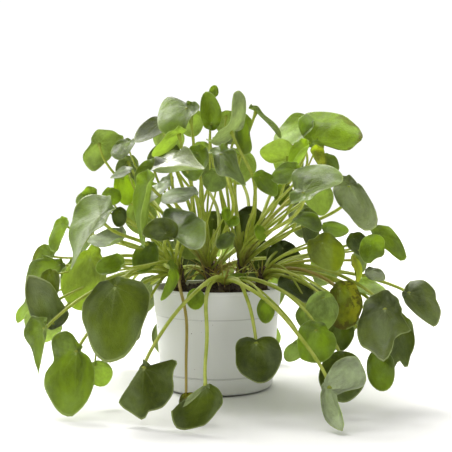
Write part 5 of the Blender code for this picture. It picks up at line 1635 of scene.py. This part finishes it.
def pot_material():
    """Satin white plastic: faint upright flow marks, fine grain, painted shade in the moulded lines
    under the band and in the groove, and a few specks of soil."""
    material, graph = new_material("pot_white")
    where = graph.node("TexCoord", {}, (), "Object")
    _, _, height = graph.parts(where)
    stretched = graph.node("Mapping", {}, {"Vector": where, "Scale": FLOW_SQUEEZE}, "Vector")
    cloud = graph.noise(where, *CLOUD_NOISE) + height.step(*DUSTY_FOOT) * FOOT_DUST
    wires = {
        "flow": graph.noise(stretched, *FLOW_NOISE),
        "dust": cloud.step(*DUST_EDGES),
        "speck": graph.noise(where, *SPECK_NOISE).step(*SPECK_EDGES),
        "grain": graph.noise(where, *PLASTIC_NOISE),
    }
    colour = graph.mixed(weighted(wires, CREAM_SHARES), POT_WHITE, POT_CREAM)
    # Painted shade: a thin grey line under the band's step and one in the groove by the foot
    shade_under_band = abs(height - (BAND_HEIGHT - UNDER_BAND) * MM).step(*LINE_SHADE_EDGES)
    shade_in_groove = abs(height - GROOVE_HEIGHT * MM).step(*LINE_SHADE_EDGES)
    colour = graph.mixed((shade_under_band + shade_in_groove) * LINE_SHADE_COVER, colour, PAINTED_LINE_SHADE)
    colour = graph.mixed(wires["speck"] * SPECK_COVER, colour, POT_DIRT)
    bump = graph.bump(weighted(wires, POT_RELIEF), *POT_BUMP)
    graph.finish(graph.plastic(colour, weighted(wires, ROUGH_SHARES, POT_ROUGH), bump))
    return material


skin = Skin()
add_turned(skin, pot_profile(), POT_COLUMNS)
pot = skin.build("moulded_pot", (pot_material(),))
hole_angles = [2 * math.pi * (i + 0.5) / HOLES for i in range(HOLES)]
cut(pot, [hole_cutter(a) for a in hole_angles] + [notch_cutter(a) for a in hole_angles])
pot.data.shade_smooth()
pot.data.set_sharp_from_angle(angle=math.radians(SHARP_ANGLE))
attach(pot, "root")
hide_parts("pot")
print("pot faces after the cuts:", len(pot.data.polygons))

# %% [markdown]
# ## Soil
# The soil is dark and crumbly, mounded a little towards the stems. The plug below it is a plain
# turned body whose top is a fine grid, lifted by the same gentle lumps as in the solid. Loose
# crumbs on it are many small rough stones of one shape, each dented and stretched along a direction
# of its own.

# %% Soil plug
SOIL_LUMP = 1.6
SOIL_ROUGH = 0.5
SOIL_COLUMNS = 144
SOIL_ROWS = 48
SOIL_GAP = 0.4
PEAT_DARK = (0.012, 0.007, 0.004)
PEAT_LIGHT = (0.085, 0.050, 0.026)
FIBRE_BROWN = (0.17, 0.11, 0.055)
LUMP_NOISE = (260.0, 5.0, 0.7)
PEAT_NOISE = (1700.0, 4.0, 0.7)
PEAT_EDGES = (0.35, 0.8)
PEAT_SHARES = {"lump": 0.6, "grain": 0.5}
PEAT_RELIEF = {"lump": 1.0, "grain": 0.6}
PEAT_ROUGH = (0.85, 0.95)
PEAT_BUMP = (0.9, 0.0012)
SOIL_FIBRE_NOISE = (700.0, 2.0, 0.5)
FIBRE_EDGES = (0.62, 0.70)
FIBRE_COVER = 0.5


def soil_top(radius, angle):
    """Height of the soil: a low mound with lumps, both the same as the solid's, and a fine
    roughness from four sines of mixed direction."""
    share = radius / wall_inside(SOIL_EDGE_TOP)
    mound = SOIL_CROWN_TOP + (SOIL_EDGE_TOP - SOIL_CROWN_TOP) * share**2
    lumps = np.sin(3 * angle + 6 * share) + 0.7 * np.sin(7 * angle - 9 * share)
    x, y = radius * np.cos(angle), radius * np.sin(angle)
    rough = np.sin(1.3 * x + 0.7 * y) + np.sin(0.9 * x - 1.6 * y)
    rough = rough + np.sin(2.3 * x + 1.9 * y) * np.sin(2.1 * y - 1.1 * x)
    return mound + SOIL_LUMP * lumps * share * (1 - share**4) + SOIL_ROUGH * rough * (1 - share**6)


def make_soil_plug(material):
    """Rings from the pot's floor up its wall and then inwards over the soil's top."""
    floor = CHANNEL_LIFT + FLOOR + SOIL_GAP
    corner = floor + FLOOR_CORNER
    angle = 2 * np.pi * np.arange(SOIL_COLUMNS) / SOIL_COLUMNS
    top_radius = wall_inside(SOIL_EDGE_TOP) - SOIL_GAP
    side = [
        (FOOT_RADIUS, floor),
        (wall_inside(corner) - SOIL_GAP, corner),
        (top_radius, SOIL_EDGE_TOP),
    ]
    radius = np.concatenate([[r for r, _ in side], top_radius * np.linspace(1, 0, SOIL_ROWS)[1:-1]])
    radius = radius[:, None] * np.ones(SOIL_COLUMNS)
    height = soil_top(radius, angle[None])
    height[:len(side)] = np.array([h for _, h in side])[:, None]
    grid = np.stack([radius * np.cos(angle), radius * np.sin(angle), height], axis=-1)
    middle = [(0, 0, floor), (0, 0, float(soil_top(0.0, 0.0)))]
    points = np.concatenate([grid.reshape(-1, 3), middle])
    last = len(grid) * SOIL_COLUMNS
    ring = np.arange(SOIL_COLUMNS)
    fans = np.concatenate([fan(last, ring, flip=True), fan(last + 1, last - SOIL_COLUMNS + ring)])
    skin = Skin()
    skin.add(points, join_grid(len(grid), SOIL_COLUMNS), fans)
    return skin.build("soil_plug", (material,))


def soil_material():
    """Dark peat with lighter grains and pale fibres."""
    material, graph = new_material("potting_soil")
    where = graph.node("TexCoord", {}, (), "Object")
    wires = {"lump": graph.noise(where, *LUMP_NOISE), "grain": graph.noise(where, *PEAT_NOISE)}
    fibre = graph.noise(where, *SOIL_FIBRE_NOISE).step(*FIBRE_EDGES)
    colour = graph.mixed(weighted(wires, PEAT_SHARES).step(*PEAT_EDGES), PEAT_DARK, PEAT_LIGHT)
    colour = graph.mixed(fibre * FIBRE_COVER, colour, FIBRE_BROWN)
    bump = graph.bump(weighted(wires, PEAT_RELIEF), *PEAT_BUMP)
    graph.finish(graph.plastic(colour, wires["grain"].between(*PEAT_ROUGH), bump))
    return material


potting_soil = soil_material()
soil = make_soil_plug(potting_soil)
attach(soil, "root")
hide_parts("soil")

# %% Soil crumbs
CRUMBS = 1500
CRUMB_SIZE = (0.5, 2.0)
SMALL_CRUMBS = 2.5
CRUMB_WALL_GAP = 2.5
CRUMB_DENTS = (0.72, 1.2)
CRUMB_STRETCH = (0.0, 0.9)
CRUMB_SEED = 7
NEIGHBOURS = 1.2


def rough_ball():
    """The twelve corners of a twenty-sided ball: (0, +-1, +-g) and its two turns, with g the
    golden ratio."""
    g = (1 + math.sqrt(5)) / 2
    signs = (-1, 1)
    corners = [(0, s, t * g) for s in signs for t in signs]
    corners += [(s, t * g, 0) for s in signs for t in signs]
    corners += [(s * g, 0, t) for s in signs for t in signs]
    return unit(np.array(corners, float))


def ball_faces(ball):
    """All triples of neighbouring corners of the ball, turned to face outwards."""
    triples = np.array(list(itertools.combinations(range(len(ball)), 3)))
    sides = ball[triples] - ball[np.roll(triples, 1, axis=1)]
    triples = triples[np.linalg.norm(sides, axis=-1).max(axis=1) < NEIGHBOURS]
    a, b, c = np.moveaxis(ball[triples], 1, 0)
    inward = (np.cross(b - a, c - a) * a).sum(axis=-1) < 0
    triples[inward] = triples[inward][:, [0, 2, 1]]
    return triples


def make_crumbs(material):
    """Every crumb is the ball, with each corner moved in or out, stretched along a random
    direction and set on the soil's surface, all in one array operation."""
    draw = np.random.default_rng(CRUMB_SEED)
    ball = rough_ball()
    reach = wall_inside(SOIL_EDGE_TOP) - CRUMB_WALL_GAP
    radius = reach * np.sqrt(draw.uniform(0.0, 1.0, CRUMBS))
    angle = draw.uniform(0, 2 * np.pi, CRUMBS)
    smallest, largest = CRUMB_SIZE
    size = smallest + (largest - smallest) * draw.uniform(0, 1, CRUMBS) ** SMALL_CRUMBS
    across = radius[:, None] * np.column_stack([np.cos(angle), np.sin(angle)])
    centres = np.column_stack([across, soil_top(radius, angle)])
    corners = ball * draw.uniform(*CRUMB_DENTS, (CRUMBS, len(ball), 1))
    along = unit(draw.normal(size=(CRUMBS, 1, 3)))
    stretch = draw.uniform(*CRUMB_STRETCH, (CRUMBS, 1, 1))
    corners = corners + along * (corners * along).sum(axis=-1, keepdims=True) * stretch
    points = corners * size[:, None, None] + centres[:, None]
    first = np.arange(CRUMBS)[:, None, None] * len(ball)
    skin = Skin()
    skin.add(points.reshape(-1, 3), triangles=(ball_faces(ball) + first).reshape(-1, 3))
    return skin.build("soil_crumbs", (material,))


crumbs = make_crumbs(potting_soil)
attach(crumbs, "root")

# %% [markdown]
# ## Studio
# The photograph was taken against a bright, empty background, with soft light from above and a
# little from behind, so the sides of things that face the viewer are in open shade. A distant
# lamp as wide as a softbox gives that, from above, behind and the left. The world adds a soft
# glow that is strongest round the lamp, overhead and at the back. Only rays from the camera see
# the world as plain white.

# %% Floor, world and lights
SUN_FROM = (0.44, 0.66, 1.0)
SUN_STRENGTH = 2.5
SUN_WIDTH = 18.0
SUN_COLOUR = (1.0, 0.985, 0.955)
SKY_COLOUR = (1.0, 0.99, 0.97, 1.0)
SKY_LOW, SKY_TOP, SKY_BACK, SKY_SOFTBOX = 0.15, 0.72, 0.42, 4.0
TOP_EDGES = (0.25, 0.80)
BACK_EDGES = (-0.1, 0.7)
SOFTBOX_EDGES = (0.76, 0.96)
BACKDROP = 1.05
FLOOR_SIZE = 12.0
FLOOR_TOP = -0.3
FLOOR_WHITE = (0.80, 0.80, 0.795)
FLOOR_SHADE = (0.78, 0.78, 0.75)
FLOOR_NOISE = (3.0, 2.0, 0.5)
FLOOR_ROUGH = 0.6
CLOUD_COVER = 0.1


def make_floor():
    """A white square under the pot. It lies a little low, so that the foot never flickers."""
    material, graph = new_material("floor_white")
    where = graph.node("TexCoord", {}, (), "Object")
    cloud = graph.noise(where, *FLOOR_NOISE)
    colour = graph.mixed(cloud * CLOUD_COVER, FLOOR_WHITE, FLOOR_SHADE)
    values = {"Base Color": colour, "Roughness": FLOOR_ROUGH}
    graph.finish(graph.node("BsdfPrincipled", {}, values))
    half = FLOOR_SIZE / 2 / MM
    corners = [(-half, -half), (half, -half), (half, half), (-half, half)]
    skin = Skin()
    skin.add([(x, y, FLOOR_TOP) for x, y in corners], [(0, 1, 2, 3)])
    floor = skin.build("floor", (material,))
    return floor


def make_sun():
    """A distant lamp as wide as a large softbox: it comes from the back, the left and above."""
    lamp = bpy.data.lights.new("key", "SUN")
    lamp.energy = SUN_STRENGTH
    lamp.angle = math.radians(SUN_WIDTH)
    lamp.color = SUN_COLOUR
    thing = bpy.data.objects.new("key", lamp)
    left, back, up = SUN_FROM
    thing.rotation_euler = (math.atan2(math.hypot(left, back), up), 0, math.atan2(-left, -back))
    bpy.context.scene.collection.objects.link(thing)


def make_world():
    """Light from each direction = a low part + one from above + one from the wall behind + a
    large soft patch round the lamp, each a smooth step. Camera rays see plain white."""
    world = bpy.data.worlds.new("studio")
    world.use_nodes = True
    bpy.context.scene.world = world
    graph = Graph(world.node_tree, "OutputWorld")
    x, y, z = graph.parts(graph.node("TexCoord", {}, (), "Generated"))
    left, back, up = np.array(SUN_FROM) / np.linalg.norm(SUN_FROM)
    towards_lamp = y * back - x * left + z * up
    strength = SKY_LOW + z.step(*TOP_EDGES) * SKY_TOP + y.step(*BACK_EDGES) * SKY_BACK
    strength = strength + towards_lamp.step(*SOFTBOX_EDGES) * SKY_SOFTBOX
    glow = graph.node("Background", {}, {"Color": SKY_COLOUR, "Strength": strength})
    white = graph.node("Background", {}, {"Strength": BACKDROP, "Color": (1.0, 1.0, 1.0, 1.0)})
    seen = graph.node("LightPath", {}, (), "Is Camera Ray")
    graph.finish(graph.node("MixShader", {}, [seen, glow, white]))
    return world


make_floor()
make_world()
make_sun()
bpy.context.scene.view_settings.view_transform = "Standard"
print("studio ready")
